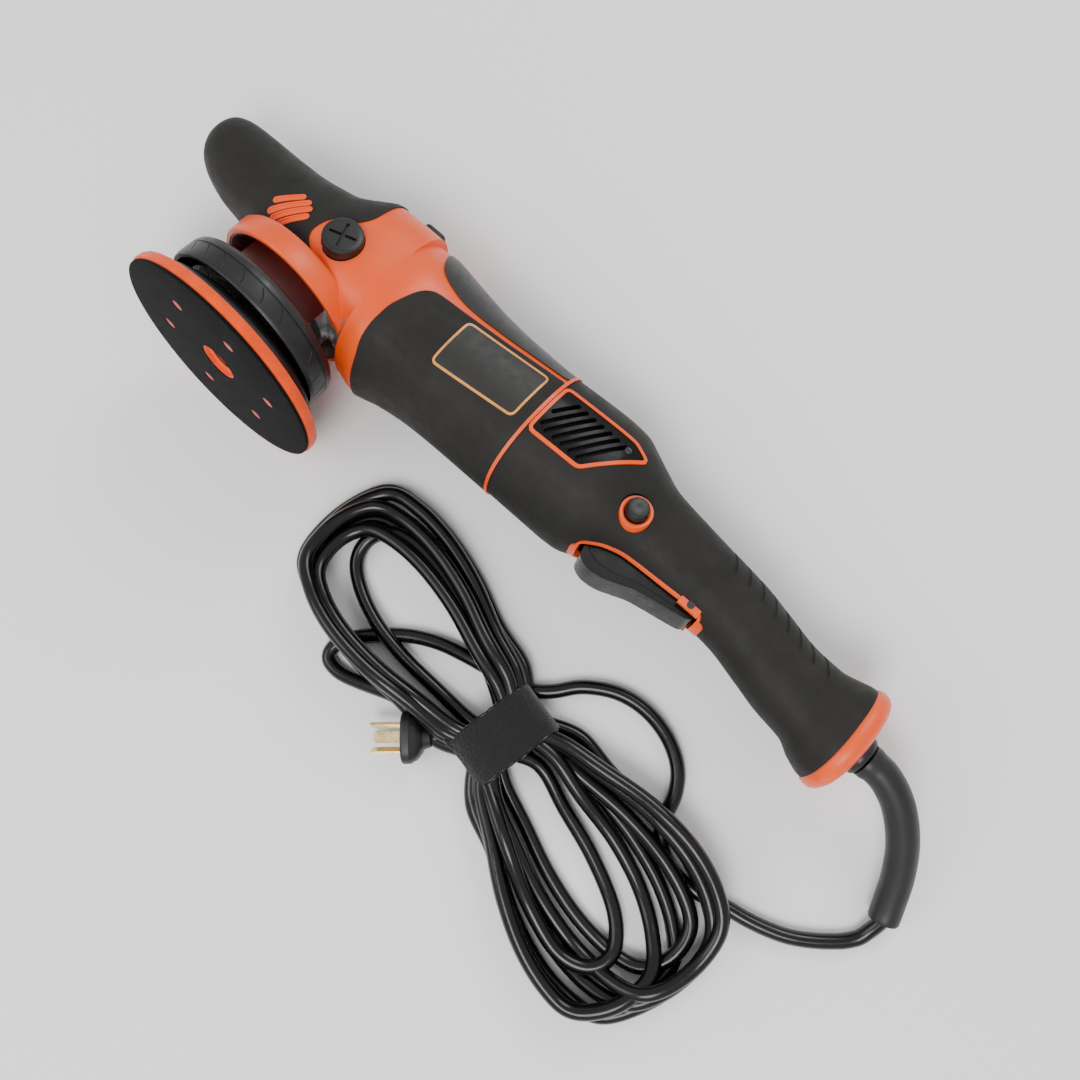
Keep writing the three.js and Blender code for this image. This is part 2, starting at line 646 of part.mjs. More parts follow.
// Cylinder round the spindle with a trumpet back to the motor, hollow for gears and bearings.
function gearCase() {
  const drum = turned([
    [0, CASE_BOTTOM], [CASE_RADIUS - 4, CASE_BOTTOM], [CASE_RADIUS - 4, SKIRT_BOTTOM - 5],
    [CASE_RADIUS, SKIRT_BOTTOM - 3], [CASE_RADIUS, CASE_TOP - 5], [CASE_RADIUS - 6, CASE_TOP], [0, CASE_TOP],
  ], "z", 28);
  const round = drum.intersect(underHead(CASE_DEPTH));
  const trumpet = turned([
    [0, FLANGE_REAR], [FLANGE_RADIUS, FLANGE_REAR], [FLANGE_RADIUS, HEAD_REAR], [30, -32], [30, -8], [0, -8],
  ], "x", 28);
  const bosses = [1, -1].map((side) =>
    rod(9, [CAP_PLACE.x, side * 20, CAP_PLACE.z], [CAP_PLACE.x, side * (CAP_FACE - 7.8), CAP_PLACE.z], 24),
  );
  const bore = rod(BOSS_BORE_RADIUS, [CAP_PLACE.x, -50, CAP_PLACE.z], [CAP_PLACE.x, 50, CAP_PLACE.z]);
  const gearRoom = rod(GEAR_RADIUS + 2.4, [0, 0, LOWER_BEARING_FROM + BEARING_WIDTH + 1.5],
    [0, 0, UPPER_BEARING_FROM - GAP], 24);
  const upperPocket = rod(UPPER_BEARING_RADIUS + GAP, [0, 0, 5], [0, 0, SPINDLE_TOP + 2], 28);
  const lowerPocket = rod(LOWER_BEARING_RADIUS + GAP, [0, 0, LOWER_BEARING_FROM - GAP], [0, 0, -20], 32);
  const neck = rod(SPINDLE_RADIUS + 5, [0, 0, CASE_BOTTOM - 1], [0, 0, -30], 28);
  const shaftRoom = rod(11, [FLANGE_REAR - 1, 0, 0], [-10, 0, 0], 28);
  const bearingPocket = rod(FRONT_BEARING_RADIUS + GAP, [FLANGE_REAR - 1, 0, 0],
    [FRONT_BEARING_FROM + BEARING_WIDTH + GAP, 0, 0], 28);
  const pinHole = rod(LOCK_PIN_RADIUS + 0.6, [lockPinX(), 0, 5], [lockPinX(), 0, 40], 16);
  return cut(join(round, trumpet, ...bosses),
    gearRoom, upperPocket, lowerPocket, neck, shaftRoom, bearingPocket, pinHole, bore);
}

// What the covers keep clear of: the gear case and its side bosses, a gap larger.
function caseClearance() {
  const drum = rod(CASE_RADIUS + 2 * GAP, [0, 0, CASE_BOTTOM - 5], [0, 0, CASE_TOP + 1], 28);
  const round = drum.intersect(underHead(CASE_DEPTH - 2 * GAP));
  const trumpet = turned([
    [0, FLANGE_REAR - 1], [FLANGE_RADIUS + GAP, FLANGE_REAR - 1], [FLANGE_RADIUS + GAP, HEAD_REAR],
    [30 + 2 * GAP, -32 + GAP], [30 + 2 * GAP, -8], [0, -8],
  ], "x", 28);
  const caps = rod(CAP_RADIUS + GAP, [CAP_PLACE.x, -50, CAP_PLACE.z], [CAP_PLACE.x, 50, CAP_PLACE.z], 28);
  return join(round, trumpet, caps);
}

const LOCK_WINDOW = [SPINDLE_LOCK_LENGTH / 2 + 0.5, SPINDLE_LOCK_WIDTH / 2 + 0.5];

function headCover() {
  const rows = sectionsBetween(HEAD, HEAD_REAR, GRIP_REAR - GAP / 2);
  const shell = loft(rows, 0, 0, 2.7);
  const skirt = rod(SKIRT_RADIUS, [0, 0, SKIRT_BOTTOM], [0, 0, SKIRT_TOP], 36);
  const keepSkirt = cut(hollow(rows, WALL - 0.4, 2.7), block([-60, -60, -60], [60, 60, SKIRT_TOP - 2]));
  const window = block(
    [SPINDLE_LOCK_X - LOCK_WINDOW[0], -LOCK_WINDOW[1], 30],
    [SPINDLE_LOCK_X + LOCK_WINDOW[0], LOCK_WINDOW[1], 60],
  );
  return cut(join(shell, skirt), keepSkirt, caseClearance(), window);
}

function frontGrip() {
  const rows = sectionsBetween(HEAD, GRIP_REAR + GAP / 2, HEAD[HEAD.length - 1][0]);
  const shell = loft(rows, 0, 0, GRIP_ROUNDNESS);
  const inner = hollow(sectionsBetween(HEAD, GRIP_REAR, 86), WALL + 1, GRIP_ROUNDNESS);
  const overSkirt = rod(SKIRT_RADIUS + 2, [0, 0, -60], [0, 0, SKIRT_TOP + GAP], 36);
  return cut(shell, inner, overSkirt, caseClearance());
}

function collar() {
  const rows = sectionsBetween(BODY, HEAD_REAR - GAP, COLLAR_REAR);
  return cut(loft(rows, 0.8), hollow(rows));
}

// Drawn round z, then turned to face its own side.
function sideCap() {
  const face = CAP_FACE - 7.5;
  const disc = turned([
    [0, face], [CAP_RADIUS, face], [CAP_RADIUS, CAP_FACE - 1], [CAP_RADIUS - 1, CAP_FACE], [0, CAP_FACE],
  ], "z", 28);
  const stem = rod(BOSS_BORE_RADIUS - GAP, [0, 0, face - 8], [0, 0, face + 1]);
  const cross = [[7, 1.6], [1.6, 7]].map(([u, v]) => block([-u, -v, CAP_FACE - 2.2], [u, v, CAP_FACE + 1]));
  return cut(join(disc, stem), ...cross);
}

// Push button on top of the head with the pin that reaches into the shaft's collar.
function spindleLockButton() {
  const [u, v] = [SPINDLE_LOCK_LENGTH / 2, SPINDLE_LOCK_WIDTH / 2];
  const top = sectionAt(HEAD, SPINDLE_LOCK_X)[1] + sectionAt(HEAD, SPINDLE_LOCK_X)[3];
  const outline = roundedRectangle(SPINDLE_LOCK_X - u, -v, SPINDLE_LOCK_X + u, v, 3);
  const head = planPrism(outline, top - 8, top + 8);
  const pin = rod(LOCK_PIN_RADIUS, [lockPinX(), 0, 10.4], [lockPinX(), 0, top - 7], 16);
  return join(head, pin);
}

function shroud() {
  const low = SHROUD_TOP - SHROUD_HEIGHT;
  return turned([
    [CASE_RADIUS - 4 + GAP, SHROUD_TOP - 2],
    [SHROUD_RADIUS - 3, SHROUD_TOP - 2 - GAP],
    [SHROUD_RADIUS - 3, low],
    [SHROUD_RADIUS, low],
    [SHROUD_RADIUS, SHROUD_TOP - 4],
    [SHROUD_RADIUS - 3.5, SHROUD_TOP],
    [CASE_RADIUS - 4 + GAP, SHROUD_TOP],
  ], "z", 40);
}

const lockGroup = new THREE.Group();
tool.add(lockGroup);
piece("gear_case", gearCase(), ALUMINIUM);
piece("head_cover", headCover(), ORANGE);
piece("front_grip", frontGrip(), RUBBER);
piece("collar", collar(), ORANGE);
const sideCaps = ["side_cap_left", "side_cap_right"].map((name, i) => {
  const mesh = piece(name, sideCap(), BLACK_PLASTIC);
  mesh.position.set(CAP_PLACE.x, 0, CAP_PLACE.z);
  mesh.rotation.x = i === 0 ? -Math.PI / 2 : Math.PI / 2;
  return mesh;
});
piece("shroud", shroud(), BLACK_PLASTIC);
piece("spindle_lock_button", spindleLockButton(), BLACK_PLASTIC, lockGroup);

// ---------------------------------------------------------------- motor housing
const BADGE = { fromX: -138, toX: -87, lowZ: -17.5, highZ: 13.5, lean: 5 };

// The badge's outline leans with the casing: its rear end stands a little higher.
function badgeOutline(margin = 0) {
  const { fromX, toX, lowZ, highZ, lean } = BADGE;
  const box = roundedRectangle(fromX - margin, lowZ - margin, toX + margin, highZ + margin, 4 + margin);
  return box.map(([x, z]) => [x, z + (lean * (toX - x)) / (toX - fromX)]);
}

function motorHousing() {
  const rows = sectionsBetween(BODY, COLLAR_REAR - GAP, HOUSING_REAR + SEAM_RING_WIDTH / 2 + GAP);
  const recess = layer(rows, 5, -1.6);
  const badges = [1, -1].map((side) =>
    recess.intersect(sidePrism(badgeOutline(GAP), side > 0 ? 20 : -60, side > 0 ? 60 : -20)),
  );
  return cut(loft(rows), hollow(rows), ...badges);
}

function badgePlate(side) {
  const rows = sectionsBetween(BODY, BADGE.toX + 8, BADGE.fromX - 3);
  const [low, high] = side > 0 ? [20, 60] : [-60, -20];
  return layer(rows, 0.5, -1.3).intersect(sidePrism(badgeOutline(), low, high));
}

function seamRing() {
  const half = SEAM_RING_WIDTH / 2;
  const rows = sectionsBetween(BODY, HOUSING_REAR + half, HOUSING_REAR - half);
  return cut(loft(rows, 0.4), hollow(rows));
}

piece("motor_housing", motorHousing(), RUBBER);
piece("seam_ring", seamRing(), ORANGE);
piece("badge_plate_left", badgePlate(1), BLACK_PLASTIC);
piece("badge_plate_right", badgePlate(-1), BLACK_PLASTIC);

// ---------------------------------------------------------------- rear handle
const HANDLE_FRONT = HOUSING_REAR - SEAM_RING_WIDTH / 2 - GAP;
const VENT = [[-148.5, -10.5], [-148.5, 17.6], [-188, 19], [-196, 15.6], [-175.7, -9.2]];
const VENT_FRAME = 2.2; // width of the orange frame
const VENT_DEPTH = 2.6;
const SLOT = { fromX: -266, toX: -199.3 };
const SLOT_HALF_WIDTH = TRIGGER_HALF_WIDTH + 1;
const BEARING_BRACKET_WIDTH = 5;

// Solid of the handle's outer shape with the two windows, the slots and the round openings.
function handleOpenings() {
  const rows = sectionsBetween(BODY, HANDLE_FRONT, HANDLE_REAR);
  const vents = [1, -1].map((side) =>
    sidePrism(grown(VENT, VENT_FRAME + GAP), side > 0 ? 12 : -60, side > 0 ? 60 : -12),
  );
  const { x, z } = DIAL_PLACE;
  const half = DIAL_WIDTH / 2 + 2 * GAP;
  const dialSlot = block([x - DIAL_RADIUS, -half, z], [x + DIAL_RADIUS, half, 60]);
  const rim = BEZEL_MARGIN + GAP;
  const bezelSlot = planPrism(roundedRectangle(SLOT.fromX - rim, -SLOT_HALF_WIDTH - rim,
    SLOT.toX + rim, SLOT_HALF_WIDTH + rim, 4), -60, 0);
  const lockHole = rod(8.5 + GAP, [LOCK_BUTTON_PLACE.x, 5, LOCK_BUTTON_PLACE.z],
    [LOCK_BUTTON_PLACE.x, 60, LOCK_BUTTON_PLACE.z], 28);
  return { rows, tools: [...vents, dialSlot, bezelSlot, lockHole] };
}

function handleShell(side) {
  const { rows, tools } = handleOpenings();
  const shell = cut(loft(rows), hollow(rows), ...tools);
  const rib = cut(
    loft(sectionsBetween(BODY, REAR_BEARING_FROM, REAR_BEARING_FROM + BEARING_BRACKET_WIDTH), -1),
    rod(REAR_BEARING_RADIUS + GAP, [REAR_BEARING_FROM - 5, 0, 0], [REAR_BEARING_FROM + 20, 0, 0], 28),
    ...tools,
  );
  const half = sideBlock(side, -400, 0, GAP / 2, 80, -80, 80);
  return join(shell, rib).intersect(half);
}

// Frames and grilles follow the casing's curve.
function ventFrame(side) {
  const rows = sectionsBetween(BODY, HANDLE_FRONT, -202);
  const [low, high] = side > 0 ? [12, 60] : [-60, -12];
  const outer = sidePrism(grown(VENT, VENT_FRAME), low, high);
  const inner = sidePrism(grown(VENT, GAP), low - 1, high + 1);
  return layer(rows, 0.9, -VENT_DEPTH).intersect(cut(outer, inner));
}

function ventGrille(side) {
  const rows = sectionsBetween(BODY, HANDLE_FRONT, -202);
  const [low, high] = side > 0 ? [12, 60] : [-60, -12];
  const plate = layer(rows, 0.1, -VENT_DEPTH).intersect(sidePrism(VENT, low, high));
  const slots = [-188, -181.5, -175, -168.5, -162, -155.5].map((x, i) => {
    const foot = Math.max(-7 + Math.max(0, 1 - i) * 13, -7);
    const lean = 0.72;
    const reach = (z) => x + (z - 5) * lean * -1;
    return sidePrism([[reach(foot) - 1.5, foot], [reach(foot) + 1.5, foot],
      [reach(14) + 1.5, 14], [reach(14) - 1.5, 14]], low, high);
  });
  return cut(plate, ...slots);
}

function lockButtonRing() {
  const { x, z } = LOCK_BUTTON_PLACE;
  const tube = rod(8.5, [x, 19, z], [x, 29.2, z], 28);
  return cut(tube, rod(LOCK_BUTTON_RADIUS + 0.5, [x, 0, z], [x, 60, z], 28));
}

// Drawn round z, then turned to point out of the left side.
function lockOnButton() {
  return turned([
    [0, 15.6], [7.6, 15.6], [7.6, 18.3], [LOCK_BUTTON_RADIUS, 18.3], [LOCK_BUTTON_RADIUS, 32.4],
    [LOCK_BUTTON_RADIUS - 1.1, 33.4], [0, 33.4],
  ]);
}

function speedDial() {
  const { x, z } = DIAL_PLACE;
  const notches = 14;
  const wheel = rod(DIAL_RADIUS, [x, -DIAL_WIDTH / 2, z], [x, DIAL_WIDTH / 2, z], 28);
  const cuts = Array.from({ length: notches }, (_, i) => {
    const angle = (2 * Math.PI * i) / notches;
    const [u, v] = [x + DIAL_RADIUS * Math.cos(angle), z + DIAL_RADIUS * Math.sin(angle)];
    return rod(1, [u, -DIAL_WIDTH, v], [u, DIAL_WIDTH, v], 4);
  });
  return join(cut(wheel, ...cuts), rod(2, [x, -7, z], [x, 7, z], 12));
}

// Circuit board under the dial, with the potentiometer that carries the dial's axle.
function speedController() {
  const { x, z } = DIAL_PLACE;
  const board = block([x - 10, 8, z - 20], [x + 10, 9.8, z + 2.5]);
  const pot = block([x - 6, 4.2, z - 7], [x + 6, 8.5, z + 3]);
  return cut(join(board, pot), rod(2 + GAP, [x, 0, z], [x, 20, z], 16));
}

// ---------------------------------------------------------------- trigger
function triggerBezel() {
  const rows = sectionsBetween(BODY, -190, -280);
  const outer = planPrism(roundedRectangle(SLOT.fromX - BEZEL_MARGIN, -SLOT_HALF_WIDTH - BEZEL_MARGIN,
    SLOT.toX + BEZEL_MARGIN, SLOT_HALF_WIDTH + BEZEL_MARGIN, 4), -60, -6);
  const mouth = roundedRectangle(SLOT.fromX, -SLOT_HALF_WIDTH, SLOT.toX, SLOT_HALF_WIDTH, 3);
  const inner = planPrism(mouth, -61, 0);
  const rim = layer(rows, 1.1, -WALL).intersect(cut(outer, inner));
  const cheeks = [1, -1].map((side) => {
    const [low, high] = [SLOT_HALF_WIDTH + 0.2, SLOT_HALF_WIDTH + 3];
    const { x, z } = TRIGGER_PIVOT;
    return side > 0 ? block([x - 6, low, z - 3], [x + 6, high, z + 5])
      : block([x - 6, -high, z - 3], [x + 6, -low, z + 5]);
  });
  const pinHole = rod(PIVOT_BORE_RADIUS, [TRIGGER_PIVOT.x, -30, TRIGGER_PIVOT.z],
    [TRIGGER_PIVOT.x, 30, TRIGGER_PIVOT.z]);
  return cut(join(rim, ...cheeks), pinHole);
}

// Long paddle: deep at the front, where two fingers pull, and slim at its pivot.
function trigger() {
  const profile = new THREE.SplineCurve([
    [-264.6, -19.5], [-262.5, -22.8], [-254, -25], [-244, -27], [-234, -29.3], [-226, -32.6],
    [-218.5, -35.6], [-210, -36.6], [-203.6, -34.2], [-201.6, -29.5],
  ].map(([x, z]) => new THREE.Vector2(x, z)));
  const under = profile.getPoints(12).map((p) => [p.x, p.y]);
  const body = sidePrism([...under, [-201.6, -13], [-264.6, -13.5]], -TRIGGER_HALF_WIDTH, TRIGGER_HALF_WIDTH);
  const { x, z } = TRIGGER_PIVOT;
  return cut(body, rod(PIVOT_BORE_RADIUS, [x, -30, z], [x, 30, z]));
}

function switchModule() {
  const body = block([-252, -8, -5.5], [-216, 8, 12]);
  const plunger = block([-222, -3, -8.5], [-218, 3, -4]);
  return join(body, plunger);
}

const triggerGroup = new THREE.Group();
const dialGroup = new THREE.Group();
const lockOnGroup = new THREE.Group();
tool.add(triggerGroup, dialGroup, lockOnGroup);
piece("handle_shell_left", handleShell(1), RUBBER);
const handleMesh = piece("handle_shell_right", handleShell(-1), RUBBER);
const ventFrames = [];
for (const [word, side] of [["left", 1], ["right", -1]]) {
  ventFrames.push(piece("vent_frame_" + word, ventFrame(side), ORANGE));
  piece("vent_grille_" + word, ventGrille(side), GLOSS_BLACK);
}
piece("lock_button_ring", lockButtonRing(), ORANGE);
const lockOnMesh = piece("lock_on_button", lockOnButton(), BLACK_PLASTIC, lockOnGroup);
lockOnMesh.position.set(LOCK_BUTTON_PLACE.x, 0, LOCK_BUTTON_PLACE.z);
lockOnMesh.rotation.x = -Math.PI / 2;
piece("speed_dial", speedDial(), BLACK_PLASTIC, dialGroup);
piece("speed_controller", speedController(), BLACK_PLASTIC);
piece("trigger_bezel", triggerBezel(), ORANGE);
piece("trigger_pin", rod(TRIGGER_PIN_RADIUS, [TRIGGER_PIVOT.x, -14, TRIGGER_PIVOT.z],
  [TRIGGER_PIVOT.x, 14, TRIGGER_PIVOT.z]), STEEL);
piece("trigger", trigger(), GLOSS_BLACK, triggerGroup);
piece("switch_module", switchModule(), BLACK_PLASTIC);

// ---------------------------------------------------------------- end cap and cable exit
const EXIT_Z = -13.5;
const CAP_REAR = -364;

function endCap() {
  const [, centre, halfWidth, halfHeight] = sectionAt(BODY, HANDLE_REAR);
  const dome = [[0, 0.6], [4, 1.6], [8, 0.2], [10.6, -4], [HANDLE_REAR - CAP_REAR, -9]];
  const rows = dome.map(([back, margin]) =>
    [HANDLE_REAR - GAP - back, centre, halfWidth + margin, halfHeight + margin]);
  const boreRadius = SLEEVE_DIAMETER / 2 + 1 + GAP;
  const bore = rod(boreRadius, [CAP_REAR - 9, 0, EXIT_Z], [HANDLE_REAR + 9, 0, EXIT_Z], 24);
  return cut(loft(rows), bore);
}

function cableGland() {
  const outer = turned([
    [CORD_DIAMETER / 2 + GAP, CAP_REAR - 5], [SLEEVE_DIAMETER / 2 + 2.2, CAP_REAR - 5],
    [SLEEVE_DIAMETER / 2 + 2.2, CAP_REAR - 0.8], [SLEEVE_DIAMETER / 2 + 1, CAP_REAR - 0.8],
    [SLEEVE_DIAMETER / 2 + 1, HANDLE_REAR + 8], [CORD_DIAMETER / 2 + GAP, HANDLE_REAR + 8],
  ], "x", 24);
  return outer;
}

// Two-screw saddle that holds the cord inside the handle, with the cord's inner end in it.
function cordClamp() {
  const saddle = block([-338, -12, EXIT_Z - 9], [-328, 12, EXIT_Z + 6]);
  return cut(saddle, rod(CORD_DIAMETER / 2 + GAP, [-345, 0, EXIT_Z], [-320, 0, EXIT_Z], 16));
}

piece("end_cap", endCap(), ORANGE);
piece("cable_gland", cableGland(), BLACK_PLASTIC).position.z = EXIT_Z;
piece("cord_clamp", cordClamp(), BLACK_PLASTIC);
piece("cord_inner_end", rod(CORD_DIAMETER / 2, [CAP_REAR - 4.5, 0, EXIT_Z], [-300, 0, EXIT_Z]), PVC);

// ---------------------------------------------------------------- lying on its side
// The tool rests on the rim of its plate, on a side cap and on the side of its casing.
// The floor's normal is found by taking the lowest corner of each in turn.
function restingPlace() {
  tool.updateMatrixWorld(true);
  const corners = (mesh) => {
    const at = mesh.geometry.attributes.position;
    return Array.from({ length: at.count }, (_, i) =>
      new THREE.Vector3().fromBufferAttribute(at, i).applyMatrix4(mesh.matrixWorld));
  };
  const casing = [...corners(handleMesh), ...corners(ventFrames[1])];
  const supports = [corners(hookMesh), corners(sideCaps[1]), casing];
  const up = new THREE.Vector3(0, 1, -0.3).normalize();
  for (let round = 0; round < 12; round++) {
    const [a, b, c] = supports.map((points) =>
      points.reduce((low, p) => (p.dot(up) < low.dot(up) ? p : low)));
    up.copy(b).sub(a).cross(c.clone().sub(a)).normalize();
    if (up.y < 0) up.negate();
  }
  const along = new THREE.Vector3(1, 0, 0).addScaledVector(up, -up.x).normalize();
  const across = new THREE.Vector3().crossVectors(up, along);
  const turn = new THREE.Matrix4().makeBasis(along, across, up).transpose();
  tool.setRotationFromMatrix(turn);
  tool.updateMatrixWorld(true);
  const box = new THREE.Box3();
  tool.traverse((mesh) => {
    if (mesh.isMesh) corners(mesh).forEach((p) => box.expandByPoint(p));
  });
  const middle = box.getCenter(new THREE.Vector3());
  tool.position.set(-middle.x, -middle.y, -box.min.z);
}

restingPlace();

// ---------------------------------------------------------------- cord
// The cord lies on the surface beside the tool: sleeve, lead, hank tied by a strap, plug.
const SLEEVE_ROUTE = [
  [0, 0, 0], [-12, 0.5, -1.2], [-26, 6, -5.5], [-40, 17, -12.5], [-51, 31, -20.5], [-58.5, 45, -27],
  [-62, 53, -29.4],
];
const LEAD_ROUTE = [
  [-292, 48.6, 8], [-294.6, 53.5, 5.6], [-294, 59, 4.3], [-288.5, 66.5, 4.1], [-279, 75, 4.1],
  [-268, 82.5, 4.1], [-257, 87.2, 4.1], [-246, 90.5, 4.1],
];
const HANK_HEIGHT = 20;
const HANK_OUTLINE = [
  [46, 56], [57, 68], [60, 84], [52, 98], [32, 110], [0, 116], [-40, 115], [-76, 118], [-104, 130],
  [-134, 152],  [-162, 172], [-184, 184], [-206, 184], [-228, 173], [-240, 156], [-245, 132], [-242, 110], [-232, 95],
  [-212, 86], [-178, 83], [-142, 84], [-104, 80], [-68, 71], [-34, 56], [-6, 45], [20, 42],
];
const RIGHT_LOOP = [
  [-84, 84], [-98, 64], [-118, 50], [-141, 45], [-162, 49], [-176, 62], [-184, 84], [-186, 96],
];
const LEFT_LOOP = [
  [-30, 104], [-12, 108], [4, 124], [9, 134], [2, 141], [-14, 136], [-32, 126], [-50, 112], [-60, 104],
];
const STRAP_PLACE = { x: -94, y: 104, turn: -0.2 };
const STRAP_HALF_ACROSS = 27;
const PLUG_PLACE = { x: -61, y: 134.5, turn: 0.74 };
const PLUG_DEPTH = 15.5;
const PLUG_WIDTH = 28;
const PLUG_HEIGHT = 22;
const PIN_LENGTH = 17;

// The floor route of a loose turn of cord, given in the plane.
function looseTurn(points, steps) {
  const height = CORD_DIAMETER / 2 + 0.1;
  return drawnAlong(points.map(([x, y]) => [x, y, height]), CORD_DIAMETER / 2, 8, steps);
}

function hank() {
  const corners = [...HANK_OUTLINE, HANK_OUTLINE[0]].map((p) => new THREE.Vector2(...p));
  const outline = new THREE.SplineCurve(corners);
  const points = outline.getPoints(HANK_OUTLINE.length).slice(0, -1).map((p) => [p.x, p.y]);
  const body = planPrism(points, 0.1, HANK_HEIGHT);
  return cut(join(body, looseTurn(RIGHT_LOOP, 12), looseTurn(LEFT_LOOP, 12)), strapClearance());
}

// A block turned about z and set down at a place on the surface.
function placedBlock({ x, y, turn }, low, high) {
  const corners = [[low[0], low[1]], [high[0], low[1]], [high[0], high[1]], [low[0], high[1]]];
  const [c, d] = [Math.cos(turn), Math.sin(turn)];
  return planPrism(corners.map(([u, v]) => [x + u * c - v * d, y + u * d + v * c]), low[2], high[2]);
}

// The strap is a flat band wound round the hank's waist.
function strap() {
  const [u, v, top] = [STRAP_WIDTH / 2, STRAP_HALF_ACROSS, HANK_HEIGHT + STRAP_THICKNESS + 1];
  const outer = placedBlock(STRAP_PLACE, [-u, -v, 0.1], [u, v, top]);
  const t = STRAP_THICKNESS;
  return cut(outer, placedBlock(STRAP_PLACE, [-u - 1, t - v, t + 0.1], [u + 1, v - t, top - t]));
}

function strapClearance() {
  const [u, v, t] = [STRAP_WIDTH / 2 + GAP, STRAP_HALF_ACROSS - STRAP_THICKNESS - GAP, STRAP_THICKNESS + GAP];
  const outer = placedBlock(STRAP_PLACE, [-u, -v - 12, -1], [u, v + 12, HANK_HEIGHT + 9]);
  const inner = placedBlock(STRAP_PLACE, [-u - 1, -v, t + 0.1], [u + 1, v, HANK_HEIGHT + 0.6]);
  return cut(outer, inner);
}

// The lead runs from the sleeve to just short of the hank.
function lead() {
  return drawnAlong(LEAD_ROUTE, CORD_DIAMETER / 2, 8, 18);
}

function sleeve() {
  const start = tool.localToWorld(new THREE.Vector3(CAP_REAR - 5 - 3 * GAP, 0, EXIT_Z));
  const route = SLEEVE_ROUTE.map(([x, y, z]) => [start.x + x, start.y + y, start.z + z]);
  return drawnAlong(route, SLEEVE_DIAMETER / 2, 12, 12);
}

const FACE_PLATE = [2, 20, 16]; // depth, width and height of the plate that carries the pins

function plugBody() {
  const half = PLUG_WIDTH / 2;
  const outline = roundedRectangle(-PLUG_DEPTH / 2, -half, PLUG_DEPTH / 2, half, 5);
  const { x, y, turn } = PLUG_PLACE;
  const [c, d] = [Math.cos(turn), Math.sin(turn)];
  const body = planPrism(outline.map(([u, v]) => [x + u * c - v * d, y + u * d + v * c]), 0.1, PLUG_HEIGHT);
  const [depth, width, height] = FACE_PLATE.map((size, i) => (i ? size / 2 : size) + GAP);
  const middle = PLUG_HEIGHT / 2;
  return cut(body, placedBlock(PLUG_PLACE, [PLUG_DEPTH / 2 - depth, -width, middle - height],
    [PLUG_DEPTH / 2 + 2, width, middle + height]));
}

// Two slanted blades and an earth blade, carried by one face plate.
function plugPins() {
  const [depth, width, height] = FACE_PLATE;
  const [front, middle] = [PLUG_DEPTH / 2, PLUG_HEIGHT / 2];
  const plate = placedBlock(PLUG_PLACE, [front - depth, -width / 2, middle - height / 2],
    [front, width / 2, middle + height / 2]);
  const blades = [[-6.5, 1.5], [6.5, 1.5], [0, -5]].map(([v, w]) =>
    placedBlock(PLUG_PLACE, [front - 1, v - (v ? 0.8 : 3.2), middle + w - (v ? 3.2 : 0.8)],
      [front + PIN_LENGTH, v + (v ? 0.8 : 3.2), middle + w + (v ? 3.2 : 0.8)]));
  return join(plate, ...blades);
}

part.updateMatrixWorld(true);
const cordGroup = new THREE.Group();
part.add(cordGroup);
piece("cable_sleeve", sleeve(), BLACK_PLASTIC, cordGroup);
piece("cord_lead", lead(), PVC, cordGroup);
piece("cord_hank", hank(), PVC, cordGroup);
piece("cable_strap", strap(), WEBBING, cordGroup);
piece("plug_body", plugBody(), BLACK_PLASTIC, cordGroup);
piece("plug_pins", plugPins(), BRASS, cordGroup);

export default part;
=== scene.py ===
"""Dual action polisher lying beside the tied hank of its mains cord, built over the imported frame."""

import json
import math

import bmesh
import bpy
from bpy.props import FloatProperty, FloatVectorProperty, IntProperty, PointerProperty
from mathutils import Matrix, Vector, noise


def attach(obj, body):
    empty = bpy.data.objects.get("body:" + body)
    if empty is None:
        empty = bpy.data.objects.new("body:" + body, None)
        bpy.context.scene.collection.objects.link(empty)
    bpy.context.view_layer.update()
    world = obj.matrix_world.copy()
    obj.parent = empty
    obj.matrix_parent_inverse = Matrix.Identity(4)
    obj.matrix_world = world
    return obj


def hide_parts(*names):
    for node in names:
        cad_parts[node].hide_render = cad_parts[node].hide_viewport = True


bl_info = {
    "name": "Dual Action Polisher",
    "version": (1, 0, 0),
    "blender": (4, 5, 0),
    "location": "View3D > Sidebar > Polisher",
    "description": "Builds a dual action polisher and its cord over the packed frame",
    "category": "Add Mesh",
}

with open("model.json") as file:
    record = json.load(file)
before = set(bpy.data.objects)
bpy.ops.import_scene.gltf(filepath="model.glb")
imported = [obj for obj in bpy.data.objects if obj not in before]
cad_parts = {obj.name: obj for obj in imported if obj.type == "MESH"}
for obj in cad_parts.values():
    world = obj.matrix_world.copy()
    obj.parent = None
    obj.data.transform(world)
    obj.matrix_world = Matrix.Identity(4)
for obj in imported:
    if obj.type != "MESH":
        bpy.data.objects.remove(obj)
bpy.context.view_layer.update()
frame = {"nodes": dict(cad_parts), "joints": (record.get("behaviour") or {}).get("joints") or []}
JOINTS = {joint["name"]: joint for joint in frame["joints"]}
MM = 0.001


def tool_matrix():
    """The tool's own frame: x forward, y left, z away from the pad, origin on the spindle."""
    x = Vector(JOINTS["armature_spin"]["axis"])
    z = Vector(JOINTS["spindle_spin"]["axis"])
    y = z.cross(x)
    matrix = Matrix((x, y, z)).transposed().to_4x4()
    matrix.translation = JOINTS["spindle_spin"]["pos_m"]
    return matrix


TOOL = tool_matrix()
ROW = Matrix.Identity(4)
PLATE_AXIS = TOOL.inverted() @ Vector(JOINTS["plate_spin"]["pos_m"])
PLATE = TOOL @ Matrix.Translation((PLATE_AXIS.x, PLATE_AXIS.y, 0))

